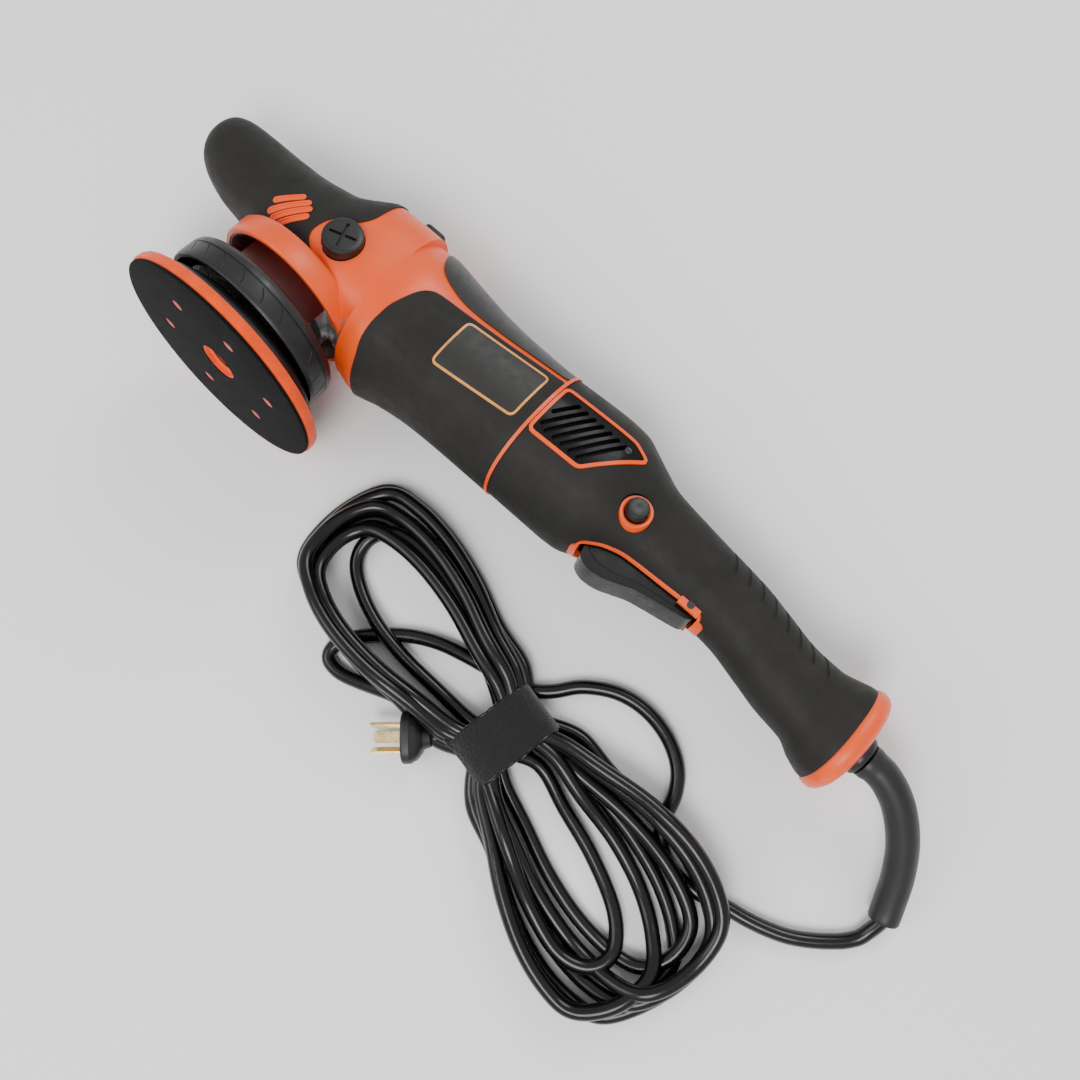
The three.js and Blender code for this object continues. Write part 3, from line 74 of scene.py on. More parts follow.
# ---------------------------------------------------------------- casing tables, millimetres
# x, centre z, half width, half height
BODY = [
    (-364, -12.8, 26.4, 27.2), (-352, -12.8, 26.4, 27.2), (-343, -12.6, 24.2, 25), (-333, -11, 21.4, 21.6),
    (-318, -9.6, 20.6, 20.9), (-299, -5.2, 20.4, 20.7), (-280, -1, 20.4, 20.5), (-260, 0.8, 20.9, 21),
    (-240, 1.6, 22.3, 22.4), (-220, 2.4, 25, 24), (-209, 2.8, 28, 27.4), (-199, 2, 31.5, 32.4),
    (-188, 2, 34.4, 36.3), (-178, 2, 35.2, 36.8), (-157, 1.5, 35.4, 36.2), (-136, 0.8, 35.2, 35.4),
    (-114, 0.9, 35.4, 35.5), (-93, 1.4, 36, 36.5), (-82, 1.7, 36.6, 37.8), (-70, 1.7, 37.6, 39.8),
    (-62, 1.2, 38.8, 41.6), (-56, 1, 39.5, 42.6), (-43.7, 2.6, 38.5, 41.2), (-40, 2.8, 38.2, 40.8),
]
HEAD = [
    (-47, 8.5, 37, 37.5), (-43.7, 8.5, 37, 37.5), (-30, 8.5, 37.4, 37.5), (-16, 8.3, 37.2, 37.2),
    (-9, 6.6, 36.4, 34.6), (-3, 5.2, 35.2, 31.6), (4, 4.8, 33.4, 28.2), (16, 5, 30.6, 26.2),
    (28, 5.8, 27.6, 24.8), (40, 7.8, 25, 23.2), (52, 9.4, 22.6, 22), (66, 10.6, 20.8, 21),
    (79, 12.4, 19, 18.8), (88, 13.9, 15.8, 15.6),
    (93.4, 15, 10.6, 10.6), (96, 15.4, 4, 4), (96.5, 15.5, 0.2, 0.2),
]


class Casing:
    """Rounded sections along x, joined by a smooth curve that never overshoots them."""

    def __init__(self, rows, roundness):
        self.rows = rows
        self.roundness = roundness
        self.slopes = [self.tangents(column) for column in (1, 2, 3)]

    def tangents(self, column):
        rows = self.rows
        steps = [(b[column] - a[column]) / (b[0] - a[0]) for a, b in zip(rows, rows[1:])]
        inner = [0 if p * q <= 0 else 2 * p * q / (p + q) for p, q in zip(steps, steps[1:])]
        return [steps[0], *inner, steps[-1]]

    def section(self, x):
        rows = self.rows
        i = max(0, min(len(rows) - 2, sum(row[0] <= x for row in rows) - 1))
        span = rows[i + 1][0] - rows[i][0]
        t = max(0.0, min(1.0, (x - rows[i][0]) / span))
        out = []
        for column, slopes in zip((1, 2, 3), self.slopes):
            p, q = rows[i][column], rows[i + 1][column]
            m, n = slopes[i] * span, slopes[i + 1] * span
            out.append((2 * t**3 - 3 * t**2 + 1) * p + (t**3 - 2 * t**2 + t) * m
                       + (3 * t**2 - 2 * t**3) * q + (t**3 - t**2) * n)
        return out

    def at(self, x, angle, margin=0.0):
        """The surface point at that place along and round the casing; angle 0 is left and 90 degrees up."""
        centre, wide, high = self.section(x)
        power = self.roundness(x)
        u, v = math.cos(angle), math.sin(angle)
        reach = (abs(u) ** power + abs(v) ** power) ** (-1 / power)
        wide, high = max(wide + margin, 0.05), max(high + margin, 0.05)
        return Vector((x, wide * u * reach, centre + high * v * reach))

    def beside(self, x, z, margin=0.0, side=1):
        """The surface point straight out from the middle plane at that x and z."""
        centre, wide, high = self.section(x)
        power = self.roundness(x)
        share = min(1.0, abs(z - centre) / high)
        return Vector((x, side * (wide + margin) * (1 - share**power) ** (1 / power), z))


def head_roundness(x):
    return 2.2 + 0.45 * max(0.0, min(1.0, (46 - x) / 34))


BODY_CASING = Casing(BODY, lambda x: 2.3)
HEAD_CASING = Casing(HEAD, head_roundness)
HEAD_REAR, COLLAR_REAR, HOUSING_REAR, HANDLE_REAR = -43.7, -62, -144, -352


# ---------------------------------------------------------------- mesh helpers
def from_mesh(name, points, faces, matrix=TOOL):
    """A new object with its points given in millimetres in its own frame."""
    mesh = bpy.data.meshes.new(name)
    mesh.from_pydata([Vector(p) * MM for p in points], [], faces)
    mesh.validate()
    obj = bpy.data.objects.new(name, mesh)
    bpy.context.scene.collection.objects.link(obj)
    obj.matrix_world = matrix
    bpy.context.view_layer.update()
    return obj


def crease(obj, degrees=38):
    """Smooth shading, with the edges sharper than that kept crisp."""
    work = bmesh.new()
    work.from_mesh(obj.data)
    bmesh.ops.remove_doubles(work, verts=work.verts, dist=2e-6)
    for face in work.faces:
        face.smooth = True
    for edge in work.edges:
        edge.smooth = edge.is_manifold and edge.calc_face_angle(0) < math.radians(degrees)
    work.to_mesh(obj.data)
    work.free()
    return obj


def outwards(obj):
    work = bmesh.new()
    work.from_mesh(obj.data)
    bmesh.ops.recalc_face_normals(work, faces=work.faces)
    work.to_mesh(obj.data)
    work.free()
    return obj


def shape(obj, operation, tools):
    """Cuts obj with the tools, keeps what they share, or joins them, and removes the tools."""
    for tool in tools:
        cut = obj.modifiers.new("shape", "BOOLEAN")
        cut.operation, cut.solver, cut.object = operation, "EXACT", tool
    bpy.context.view_layer.update()
    graph = bpy.context.evaluated_depsgraph_get()
    mesh = bpy.data.meshes.new_from_object(obj.evaluated_get(graph))
    if not mesh.polygons:
        raise RuntimeError(f"{obj.name} came out empty")
    obj.modifiers.clear()
    obj.data = mesh
    for tool in tools:
        bpy.data.objects.remove(tool)
    return obj


def carve(obj, *tools):
    return shape(obj, "DIFFERENCE", tools)


def keep(obj, *tools):
    return shape(obj, "INTERSECT", tools)


def rings_to_faces(count, around, closed=False):
    faces = []
    for i in range(count if closed else count - 1):
        a, b = i * around, ((i + 1) % count) * around
        for j in range(around):
            k = (j + 1) % around
            faces.append((a + j, a + k, b + k, b + j))
    return faces


def stations(first, last, step):
    count = max(2, round(abs(last - first) / step))
    return [first + (last - first) * i / count for i in range(count + 1)]


def turns(around):
    return [2 * math.pi * i / around for i in range(around)]


def loft(name, casing, places, margin=0.0, around=96):
    """A closed solid along the casing; margin may be a function of x."""
    size = margin if callable(margin) else lambda x: margin
    points = [casing.at(x, a, size(x)) for x in places for a in turns(around)]
    faces = rings_to_faces(len(places), around)
    faces += [tuple(range(around)), tuple(range((len(places) - 1) * around, len(places) * around))]
    return outwards(from_mesh(name, points, faces))


def shell(name, casing, first, last, outer=0.0, inner=-3.0, step=2.2, around=96, lip=0.5):
    """A hollow length of casing, open at both ends, with rounded lips."""
    places = stations(first + lip, last - lip, step)
    rows = [(first, outer - lip), (first + lip * 0.3, outer - lip * 0.3), *[(x, outer) for x in places],
            (last - lip * 0.3, outer - lip * 0.3), (last, outer - lip)]
    rows += [(x, inner) for x in reversed(stations(first, last, step * 3))]
    points = [casing.at(x, a, m) for x, m in rows for a in turns(around)]
    return outwards(from_mesh(name, points, rings_to_faces(len(rows), around, closed=True)))


def prism(outline, low, high, axis="y"):
    """An outline drawn out along y (outline in x, z) or z (outline in x, y)."""
    n = len(outline)
    if axis == "y":
        points = [(u, d, v) for d in (low, high) for u, v in outline]
    else:
        points = [(u, v, d) for d in (low, high) for u, v in outline]
    faces = [tuple(range(n)), tuple(range(n, 2 * n))]
    faces += [(i, (i + 1) % n, n + (i + 1) % n, n + i) for i in range(n)]
    return outwards(from_mesh("prism", points, faces))


def lathe(name, profile, segments=96, matrix=TOOL, closed=True):
    """A profile of (radius, z) turned round z. A radius of 0 closes the surface at its ends."""
    rows = [(max(r, 0.01), z) for r, z in profile]
    points = [(r * math.cos(a), r * math.sin(a), z) for r, z in rows for a in turns(segments)]
    faces = rings_to_faces(len(rows), segments, closed=closed)
    return outwards(from_mesh(name, points, faces, matrix))


def rounded(points, radius, steps=4):
    """A closed outline with its corners rounded off."""
    out = []
    for i, corner in enumerate(points):
        here = Vector(corner)
        before, after = Vector(points[i - 1]) - here, Vector(points[(i + 1) % len(points)]) - here
        reach = min(radius, before.length * 0.45, after.length * 0.45)
        start, end = here + before.normalized() * reach, here + after.normalized() * reach
        for k in range(steps + 1):
            t = k / steps
            out.append(tuple(start * (1 - t) ** 2 + here * 2 * t * (1 - t) + end * t**2))
    return out


def grown(points, margin):
    """A counter-clockwise outline grown outwards by an even margin."""
    out = []
    for i, point in enumerate(points):
        p, q, r = Vector(points[i - 1]), Vector(point), Vector(points[(i + 1) % len(points)])
        a, b = (q - p).normalized(), (r - q).normalized()
        a, b = Vector((a.y, -a.x)), Vector((b.y, -b.x))
        out.append(tuple(q + (a + b) * margin / max(0.3, 1 + a.dot(b))))
    return out


def smooth_line(points, step):
    """Points at an even step along a smooth curve through the given ones."""
    points = [Vector(p) for p in points]
    out = []
    for i in range(len(points) - 1):
        a, b, c, d = (points[max(i - 1, 0)], points[i], points[i + 1], points[min(i + 2, len(points) - 1)])
        parts = max(1, round((c - b).length / step))
        for j in range(parts):
            t = j / parts
            out.append(0.5 * (2 * b + (c - a) * t + (2 * a - 5 * b + 4 * c - d) * t * t
                              + (3 * b - a - 3 * c + d) * t**3))
    out.append(points[-1])
    return out


def tube(name, line, radii, around=24, matrix=TOOL, flat=1.0, up=None):
    """A round or flattened tube along a line, with a radius for each point."""
    line = [Vector(p) for p in line]
    if not isinstance(radii, (list, tuple)):
        radii = [radii] * len(line)
    side = None
    points = []
    for i, (place, radius) in enumerate(zip(line, radii)):
        ahead = (line[min(i + 1, len(line) - 1)] - line[max(i - 1, 0)]).normalized()
        if up is not None:
            side = ahead.cross(Vector(up)).normalized()
        elif side is None:
            side = ahead.orthogonal().normalized()
        else:
            side = (side - ahead * side.dot(ahead)).normalized()
        over = side.cross(ahead)
        points += [place + (side * math.cos(a) + over * math.sin(a) * flat) * radius for a in turns(around)]
    faces = rings_to_faces(len(line), around)
    faces += [tuple(range(around)), tuple(range((len(line) - 1) * around, len(line) * around))]
    return outwards(from_mesh(name, points, faces, matrix))


def joined(name, objects):
    """One object from several in the same frame."""
    work = bmesh.new()
    for obj in objects:
        work.from_mesh(obj.data)
    mesh = bpy.data.meshes.new(name)
    work.to_mesh(mesh)
    work.free()
    whole = bpy.data.objects.new(name, mesh)
    bpy.context.scene.collection.objects.link(whole)
    whole.matrix_world = objects[0].matrix_world
    for obj in objects:
        bpy.data.objects.remove(obj)
    bpy.context.view_layer.update()
    return whole


def soften(obj, width, segments=3, degrees=35):
    """Rounds the sharp edges of a moulded piece."""
    bevel = obj.modifiers.new("rounded edges", "BEVEL")
    bevel.width, bevel.segments, bevel.limit_method = width * MM, segments, "ANGLE"
    bevel.angle_limit = math.radians(degrees)
    return obj


# ---------------------------------------------------------------- finishes
def sockets(name):
    material = bpy.data.materials.new(name)
    material.use_nodes = True
    tree = material.node_tree
    return material, tree, tree.nodes["Principled BSDF"]


def add(tree, kind, **values):
    node = tree.nodes.new(kind)
    for key, value in values.items():
        if key.startswith("in_"):
            node.inputs[key[3:].replace("_", " ")].default_value = value
        else:
            setattr(node, key, value)
    return node


def surface_place(tree, stretch):
    coordinates = add(tree, "ShaderNodeTexCoord")
    mapping = add(tree, "ShaderNodeMapping", in_Scale=stretch)
    tree.links.new(coordinates.outputs["Object"], mapping.inputs["Vector"])
    return mapping.outputs["Vector"]


def noise_at(tree, place, scale, detail=4.0, rough=0.55):
    texture = add(tree, "ShaderNodeTexNoise", in_Scale=scale, in_Detail=detail, in_Roughness=rough)
    tree.links.new(place, texture.inputs["Vector"])
    return texture.outputs["Fac"]


def cells_at(tree, place, scale):
    texture = add(tree, "ShaderNodeTexVoronoi", in_Scale=scale)
    tree.links.new(place, texture.inputs["Vector"])
    return texture.outputs["Distance"]


def spread_between(tree, value, low, high, from_low=0.3, from_high=0.7):
    span = add(tree, "ShaderNodeMapRange", in_From_Min=from_low, in_From_Max=from_high, in_To_Min=low,
               in_To_Max=high)
    tree.links.new(value, span.inputs["Value"])
    return span.outputs["Result"]


def shaded(colour, amount):
    return (*[max(0.0, min(1.0, c * (1 + amount))) for c in colour], 1)


def two_tone(tree, value, dark, light, low=0.35, high=0.65):
    ramp = add(tree, "ShaderNodeValToRGB")
    ramp.color_ramp.elements[0].position, ramp.color_ramp.elements[1].position = low, high
    ramp.color_ramp.elements[0].color, ramp.color_ramp.elements[1].color = dark, light
    tree.links.new(value, ramp.inputs["Fac"])
    return ramp.outputs["Color"]


def relief(tree, heights):
    """Bumps laid over each other: (height, strength, depth in metres)."""
    normal = None
    for height, strength, depth in heights:
        bump = add(tree, "ShaderNodeBump", in_Strength=strength, in_Distance=depth)
        tree.links.new(height, bump.inputs["Height"])
        if normal is not None:
            tree.links.new(normal, bump.inputs["Normal"])
        normal = bump.outputs["Normal"]
    return normal


def finish(name, colour, rough, drift=0.1, blotch=40, grain=900, grain_depth=0.00006, strength=0.25,
           cells=False,
           stretch=(1, 1, 1), spots=0.08, metal=0.0, sheen=0.0, coat=0.0, specular=0.5, scratch=0.0):
    """A surface with drifting colour and roughness, a fine moulded or cut grain and light scuffs."""
    material, tree, shader = sockets(name)
    place = surface_place(tree, stretch)
    clouds = noise_at(tree, place, blotch)
    shade = two_tone(tree, clouds, shaded(colour, -drift), shaded(colour, drift))
    tree.links.new(shade, shader.inputs["Base Color"])
    wear = noise_at(tree, place, blotch * 3.1, 6.0, 0.65)
    tree.links.new(spread_between(tree, wear, max(0.02, rough - spots), min(1, rough + spots)),
                   shader.inputs["Roughness"])
    fine = cells_at(tree, place, grain) if cells else noise_at(tree, place, grain, 3.0)
    heights = [(noise_at(tree, place, blotch * 1.7, 2.0), 0.06, 0.0006), (fine, strength, grain_depth)]
    if scratch:
        streaks = noise_at(tree, surface_place(tree, (60, 900, 260)), 1.0, 2.0)
        heights.append((spread_between(tree, streaks, 0, 1, 0.62, 0.7), scratch, 0.00003))
    tree.links.new(relief(tree, heights), shader.inputs["Normal"])
    shader.inputs["Metallic"].default_value = metal
    shader.inputs["Specular IOR Level"].default_value = specular
    shader.inputs["Sheen Weight"].default_value = sheen
    shader.inputs["Sheen Roughness"].default_value = 0.4
    shader.inputs["Coat Weight"].default_value = coat
    shader.inputs["Coat Roughness"].default_value = 0.12
    return material


def woven(name, colour):
    """Loop pile webbing: coarse rows under a fuzz of fine fibres."""
    material, tree, shader = sockets(name)
    place = surface_place(tree, (1, 1, 1))
    rows = add(tree, "ShaderNodeTexWave", in_Scale=260.0, in_Distortion=2.2, in_Detail=2.0,
               in_Detail_Scale=3.0)
    tree.links.new(place, rows.inputs["Vector"])
    fuzz = noise_at(tree, place, 1900, 5.0, 0.7)
    tufts = cells_at(tree, place, 700)
    tree.links.new(two_tone(tree, fuzz, shaded(colour, -0.55), shaded(colour, 1.3), 0.3, 0.75),
                   shader.inputs["Base Color"])
    tree.links.new(relief(tree, [(rows.outputs["Fac"], 0.3, 0.0003), (tufts, 0.6, 0.0005),
                                 (fuzz, 0.7, 0.0004)]),
                   shader.inputs["Normal"])
    shader.inputs["Roughness"].default_value = 0.95
    shader.inputs["Sheen Weight"].default_value = 0.5
    shader.inputs["Specular IOR Level"].default_value = 0.2
    return material


FINISHES = {}


def make_finishes(look):
    orange, rubber, plastic = tuple(look.orange), tuple(look.rubber), tuple(look.plastic)
    foam, gold = tuple(look.foam), tuple(look.gold)
    FINISHES.update({
        "orange": finish("orange moulded plastic", orange, 0.42, 0.05, 30, 2600, 0.00003, 0.3, coat=0.08,
                         scratch=0.1),
        "rubber": finish("soft grip rubber", rubber, 0.62, 0.12, 45, 2300, 0.00006, 0.5, spots=0.1,
                         sheen=0.02, specular=0.22),
        "black": finish("black moulded plastic", plastic, 0.42, 0.2, 60, 2800, 0.00004, 0.35, scratch=0.12),
        "gloss": finish("gloss black plastic", shaded(plastic, -0.4)[:3], 0.3, 0.2, 50, 900, 0.00003, 0.1,
                        coat=0.04, specular=0.16, scratch=0.12),
        "sleeve": finish("sleeve rubber", shaded(plastic, 0.1)[:3], 0.46, 0.15, 60, 1400, 0.00005, 0.4),
        "cast": finish("cast aluminium", (0.62, 0.63, 0.65), 0.36, 0.08, 90, 1500, 0.0001, 0.5, metal=0.95),
        "steel": finish("machined steel", (0.5, 0.51, 0.53), 0.28, 0.06, 70, 1, 0.00004, 0.4, metal=1,
                        stretch=(1, 1, 40)),
        "copper": finish("wound copper", (0.7, 0.32, 0.14), 0.3, 0.15, 80, 1200, 0.0002, 0.6, metal=1),
        "carbon": finish("brush carbon", (0.03, 0.03, 0.032), 0.8, 0.2, 200, 3000, 0.00005, 0.5),
        "brass": finish("pin brass", (0.78, 0.6, 0.3), 0.28, 0.08, 120, 900, 0.00003, 0.2, metal=1,
                        scratch=0.2),
        "foam": finish("orange foam", foam, 0.85, 0.1, 120, 1300, 0.0004, 0.7, cells=True, sheen=0.3,
                       specular=0.25),
        "hook": finish("hook pile", (0.004, 0.004, 0.0045), 0.9, 0.35, 400, 1500, 0.0005, 0.9, cells=True,
                       sheen=0.01, specular=0.15),
        "pvc": finish("cord jacket", (0.0035, 0.0035, 0.004), 0.22, 0.2, 60, 500, 0.00005, 0.15, coat=0.08,
                      specular=0.38),
        "strap": woven("hook and loop strap", (0.007, 0.007, 0.0075)),
        "gold": finish("gold printed line", gold, 0.38, 0.1, 150, 1500, 0.00003, 0.3, coat=0.2),
        "plate": finish("matt name plate", shaded(rubber, -0.25)[:3], 0.5, 0.1, 60, 2400, 0.00003, 0.3),
        # Painted shade and painted red reflection: colour for the dark sheets put under the head cover where
        # shade falls
        "shade": finish("painted dark red shade and reflection", (0.12, 0.008, 0.006), 0.5, 0.2, 60, 1500, 0.00005, 0.3),
        # Foam colour made paler and brighter: painted light on the walls of the dust holes
        "foam_painted_light": finish("foam with painted light seen through a hole", (0.75, 0.22, 0.2), 0.7, 0.1, 150, 1500, 0.0001, 0.4),
    })


def dress(obj, look):
    obj.data.materials.clear()
    obj.data.materials.append(FINISHES[look])
    return obj


def settle(obj, look, body="root", nodes=(), creased=True, degrees=38):
    """Finishes a new piece: shading, material, body and the frame nodes that it stands for."""
    if creased and obj.type == "MESH":
        crease(obj, degrees)
    dress(obj, look)
    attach(obj, body)
    if nodes:
        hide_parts(*nodes)
    return obj


# ---------------------------------------------------------------- settings
class PolisherColours(bpy.types.PropertyGroup):
    """Colours that a user may change"""

    orange: FloatVectorProperty(name="Orange plastic", description="Colour of the head, collar and frames",
                                subtype="COLOR", size=3, min=0, max=1, default=(0.9, 0.085, 0.001))
    rubber: FloatVectorProperty(name="Grip rubber", description="Colour of the soft grips and side panels",
                                subtype="COLOR", size=3, min=0, max=1, default=(0.0175, 0.0167, 0.0152))
    plastic: FloatVectorProperty(name="Black plastic", description="Colour of buttons, caps and the shroud",
                                 subtype="COLOR", size=3, min=0, max=1, default=(0.009, 0.009, 0.0095))
    foam: FloatVectorProperty(name="Foam", description="Colour of the plate's foam layer",
                              subtype="COLOR", size=3, min=0, max=1, default=(0.92, 0.075, 0.001))
    gold: FloatVectorProperty(name="Badge line", description="Colour of the line round the name plate",
                              subtype="COLOR", size=3, min=0, max=1, default=(0.68, 0.3, 0.07))


class PolisherSizes(bpy.types.PropertyGroup):
    """Sizes that a user may change"""

    cord: FloatProperty(name="Cord diameter", description="Diameter of the mains cord", subtype="DISTANCE",
                        unit="LENGTH", default=0.008, min=0.004, max=0.012)
    sleeve: FloatProperty(name="Sleeve diameter", description="Diameter of the rubber sleeve round the cord",
                          subtype="DISTANCE", unit="LENGTH", default=0.0162, min=0.01, max=0.024)
    strap_width: FloatProperty(name="Strap width", description="Width of the tie round the hank",
                               subtype="DISTANCE", unit="LENGTH", default=0.03, min=0.01, max=0.05)
    rubber_lift: FloatProperty(name="Rubber thickness",
                               description="How far the soft panels stand off the casing",
                               subtype="DISTANCE", unit="LENGTH", default=0.0006, min=0.0002, max=0.002)
    around: IntProperty(name="Facets", description="Facets round the casing", default=112, min=32, max=200)
    focal_length: FloatProperty(name="Focal length", description="Focal length of the camera",
                                subtype="DISTANCE_CAMERA", default=36.1, min=20, max=120)


def sizes():
    return bpy.context.scene.polisher_sizes


# ---------------------------------------------------------------- camera
class MakeCamera(bpy.types.Operator):
    """Sets the camera over the left side of the tool, turned so that the tool lies on the diagonal"""

    bl_idname = "polisher.make_camera"
    bl_label = "Camera"

    def execute(self, context):
        right, up = Vector((-0.74759, 0.13177, 0.65094)), Vector((0.65305, 0.32423, 0.68439))
        back = right.cross(up)
        place = Matrix((right, up, back)).transposed().to_4x4()
        place.translation = Vector((-0.24737, 0.4995, -0.21352))
        camera = bpy.data.objects.new("camera", bpy.data.cameras.new("camera"))
        context.scene.collection.objects.link(camera)
        camera.matrix_world = (TOOL @ place).normalized()
        camera.data.lens, camera.data.sensor_width = sizes().focal_length, 36
        camera.data.clip_start, camera.data.clip_end = 0.01, 20
        context.scene.camera = camera
        return {"FINISHED"}


# ---------------------------------------------------------------- cord
EXIT = (-369.9, 0, -13.5)  # where the cord leaves the gland, tool frame
SLEEVE_ROUTE = [(0, 0, 0), (-12, 0.5, -1.2), (-26, 6, -5.5), (-40, 17, -12.5), (-51, 31, -20.5),
                (-58.5, 45, -27),
                (-62, 53, -29.4)]
LEAD_ROUTE = [(-294.6, 53.5, 5.6), (-294, 59, 4.3), (-288.5, 66.5, 4.1), (-279, 75, 4.1), (-268, 82.5, 4.1),
              (-257, 87.2, 4.1), (-246, 90.5, 4.1)]
LOOSE_START = [(-234, 93), (-220, 97), (-204, 97), (-191, 91), (-184, 81), (-180, 67), (-172, 56), (-158, 48),
               (-141, 45), (-124, 48), (-108, 58), (-98, 70), (-86, 79), (-68, 83), (-50, 87), (-34, 92),
               (-18, 101),
               (-3, 115), (6, 127), (5, 137), (-5, 139), (-18, 135), (-36, 128), (-56, 124), (-86, 124),
               (-104, 129)]
STRAP_PLACE, STRAP_TURN = (-94, 104), -0.2
STRAP_HALF = 27
PLUG_PLACE, PLUG_TURN, PLUG_MIDDLE = (-61, 134.5), 0.74, 11
# Each turn: offset at the strap, then reach, half width and heading of the upper and the lower bow.
TURNS = [
    (18, 150, 40, 0.00, 152, 47, 0.00),
    (10, 141, 31, 0.05, 146, 38, -0.10),
    (3, 128, 22, -0.04, 139, 27, 0.10),
    (14, 147, 36, -0.03, 150, 42, 0.06),
    (7, 136, 26, 0.06, 143, 33, -0.15),
    (11, 144, 33, 0.02, 148, 40, 0.13),
]
BOW_POINTS = 16
DROP_PEAK = 0.77  # largest value of the drop shape, so that its half width comes out as stated
FLOOR_HEIGHT = 4.1  # of the cord's middle where it lies on the floor
TIE_CEILING, TIE_HALF = 14.6, 19  # height of the topmost turn under the tie, and how far it holds


def bow(heading, reach, half, offset, side):
    """One bow as a drop: out from the strap on one side, round, and back to it on the other."""
    ahead = Vector((math.cos(heading), math.sin(heading)))
    across = Vector((-ahead.y, ahead.x))
    points = []
    for k in range(1, BOW_POINTS):
        t = 2 * math.pi * k / BOW_POINTS
        swell = math.sin(t) * math.sin(t / 2) / DROP_PEAK
        hand = 0 if k == BOW_POINTS // 2 else 1 if k < BOW_POINTS / 2 else -1
        lean = hand * offset * (1 - abs(swell) if 2 < k < BOW_POINTS - 2 else 1)
        points.append(tuple(Vector(STRAP_PLACE) + ahead * reach * (1 - math.cos(t)) / 2
                            + across * side * (swell * half + lean * 0.9)))
    return points


def at_strap(offset):
    return (STRAP_PLACE[0] - offset * math.sin(STRAP_TURN), STRAP_PLACE[1] + offset * math.cos(STRAP_TURN))


def hank_plan():
    """The hank's turns as seen from above, from the loose start to the plug."""
    points = list(LOOSE_START)
    before = 20
    for offset, reach, half, turn, low_reach, low_half, low_turn in TURNS:
        points += bow(math.pi - 0.28 + low_turn, low_reach, low_half, 0.5 * (before + offset), -1)
        points.append(at_strap(-offset))
        points += bow(-0.19 + turn, reach, half, offset, -1)
        points.append(at_strap(offset))
        before = offset
    points += [(-116, 103), (-142, 111), (-170, 120), (-196, 133), (-208, 148), (-203, 161), (-186, 166),
               (-160, 158), (-134, 143), (-108, 129), (-90, 122), (-78, 122.5), (-72, 124.6), (-67.6, 128.4)]
    return points


def resting_heights(line, thick):
    """How high each point lies when it rests on the floor and on the turns laid before it."""
    heights = []
    for i, (x, y) in enumerate(line):
        height = thick / 2 + 0.1
        for j in range(max(0, i - 6)):
            away = (x - line[j][0]) ** 2 + (y - line[j][1]) ** 2
            if away < thick * thick:
                height = max(height, heights[j] * 0.96 + 0.86 * math.sqrt(thick * thick - away))
        heights.append(height)
    along = Vector((math.cos(STRAP_TURN), math.sin(STRAP_TURN)))
    for i, place in enumerate(line):
        beyond = abs((Vector(place) - Vector(STRAP_PLACE)).dot(along)) - TIE_HALF
        heights[i] = min(heights[i], TIE_CEILING + 0.5 * max(0.0, beyond))
    lifted = [max(heights[max(0, i - 1):i + 2]) for i in range(len(heights))]
    for _ in range(3):
        windows = [lifted[max(0, i - 3):i + 4] for i in range(len(lifted))]
        lifted = [sum(near) / len(near) for near in windows]
    return lifted


def cord_line():
    exit_point = TOOL @ (Vector(EXIT) * MM) / MM
    sleeve = [exit_point + Vector(p) for p in SLEEVE_ROUTE]
    flat = smooth_line(LEAD_ROUTE[2:] + [(*place, FLOOR_HEIGHT) for place in hank_plan()], 4.0)
    heights = resting_heights([(p.x, p.y) for p in flat], sizes().cord / MM)
    rise = [max(0.0, 1 - (len(flat) - 1 - i) / 14) for i in range(len(flat))]
    laid = [Vector((p.x, p.y, h + (PLUG_MIDDLE - h) * r * r * (3 - 2 * r)))
            for p, h, r in zip(flat, heights, rise)]
    lead = smooth_line([*sleeve, *LEAD_ROUTE[:2], laid[0]], 4.0)[:-1]
    return lead, laid


class MakeCord(bpy.types.Operator):
    """Lays the mains cord from the sleeve to the plug, wound into a hank of two bows"""

    bl_idname = "polisher.make_cord"
    bl_label = "Cord"

    def execute(self, context):
        lead, laid = cord_line()
        line = lead + laid
        curve = bpy.data.curves.new("mains_cord", "CURVE")
        curve.dimensions = "3D"
        curve.bevel_depth, curve.bevel_resolution, curve.use_fill_caps = sizes().cord / 2, 5, True
        spline = curve.splines.new("NURBS")
        spline.points.add(len(line) - 1)
        for point, place in zip(spline.points, line):
            point.co = (*(place * MM), 1)
        spline.order_u, spline.use_endpoint_u, spline.resolution_u = 4, True, 2
        cord = bpy.data.objects.new("mains_cord", curve)
        context.scene.collection.objects.link(cord)
        settle(cord, "pvc", nodes=("cord_lead", "cord_hank"))
        companions = [make_sleeve(lead), make_strap(), make_plug(), make_pins(), make_tether()]
        return {"FINISHED"}


def make_sleeve(lead):
    """Rubber sleeve that guards the cord at the handle, with a shoulder and an open end."""
    route = smooth_line(lead[0:1] + [lead[0] + Vector(p) for p in SLEEVE_ROUTE[1:]], 2.0)
    radius = sizes().sleeve / 2 / MM
    radii = [radius * (1.1 if i < 3 else 1.03 - 0.05 * i / len(route)) for i in range(len(route))]
    radii[-1] = radius * 0.93
    ahead = (route[-1] - route[-2]).normalized()
    inside = route[-1] - ahead * 3
    sleeve = tube("cord_sleeve", [*route, route[-1] + ahead * 0.3, inside],
                  [*radii, radius * 0.84, 4.1], 32, ROW)
    return settle(sleeve, "sleeve", nodes=("cable_sleeve",), degrees=50)


def strap_ring(half, low, high, lift):
    """Cross section of the tie, across the hank and up."""
    middle, tall = (low + high) / 2, (high - low) / 2
    out = []
    for a in turns(72):
        u, v = math.cos(a), math.sin(a)
        reach = (abs(u) ** 2.8 + abs(v) ** 2.8) ** (-1 / 2.8)
        out.append(((half + lift) * u * reach, middle + (tall + lift) * v * reach))
    return out


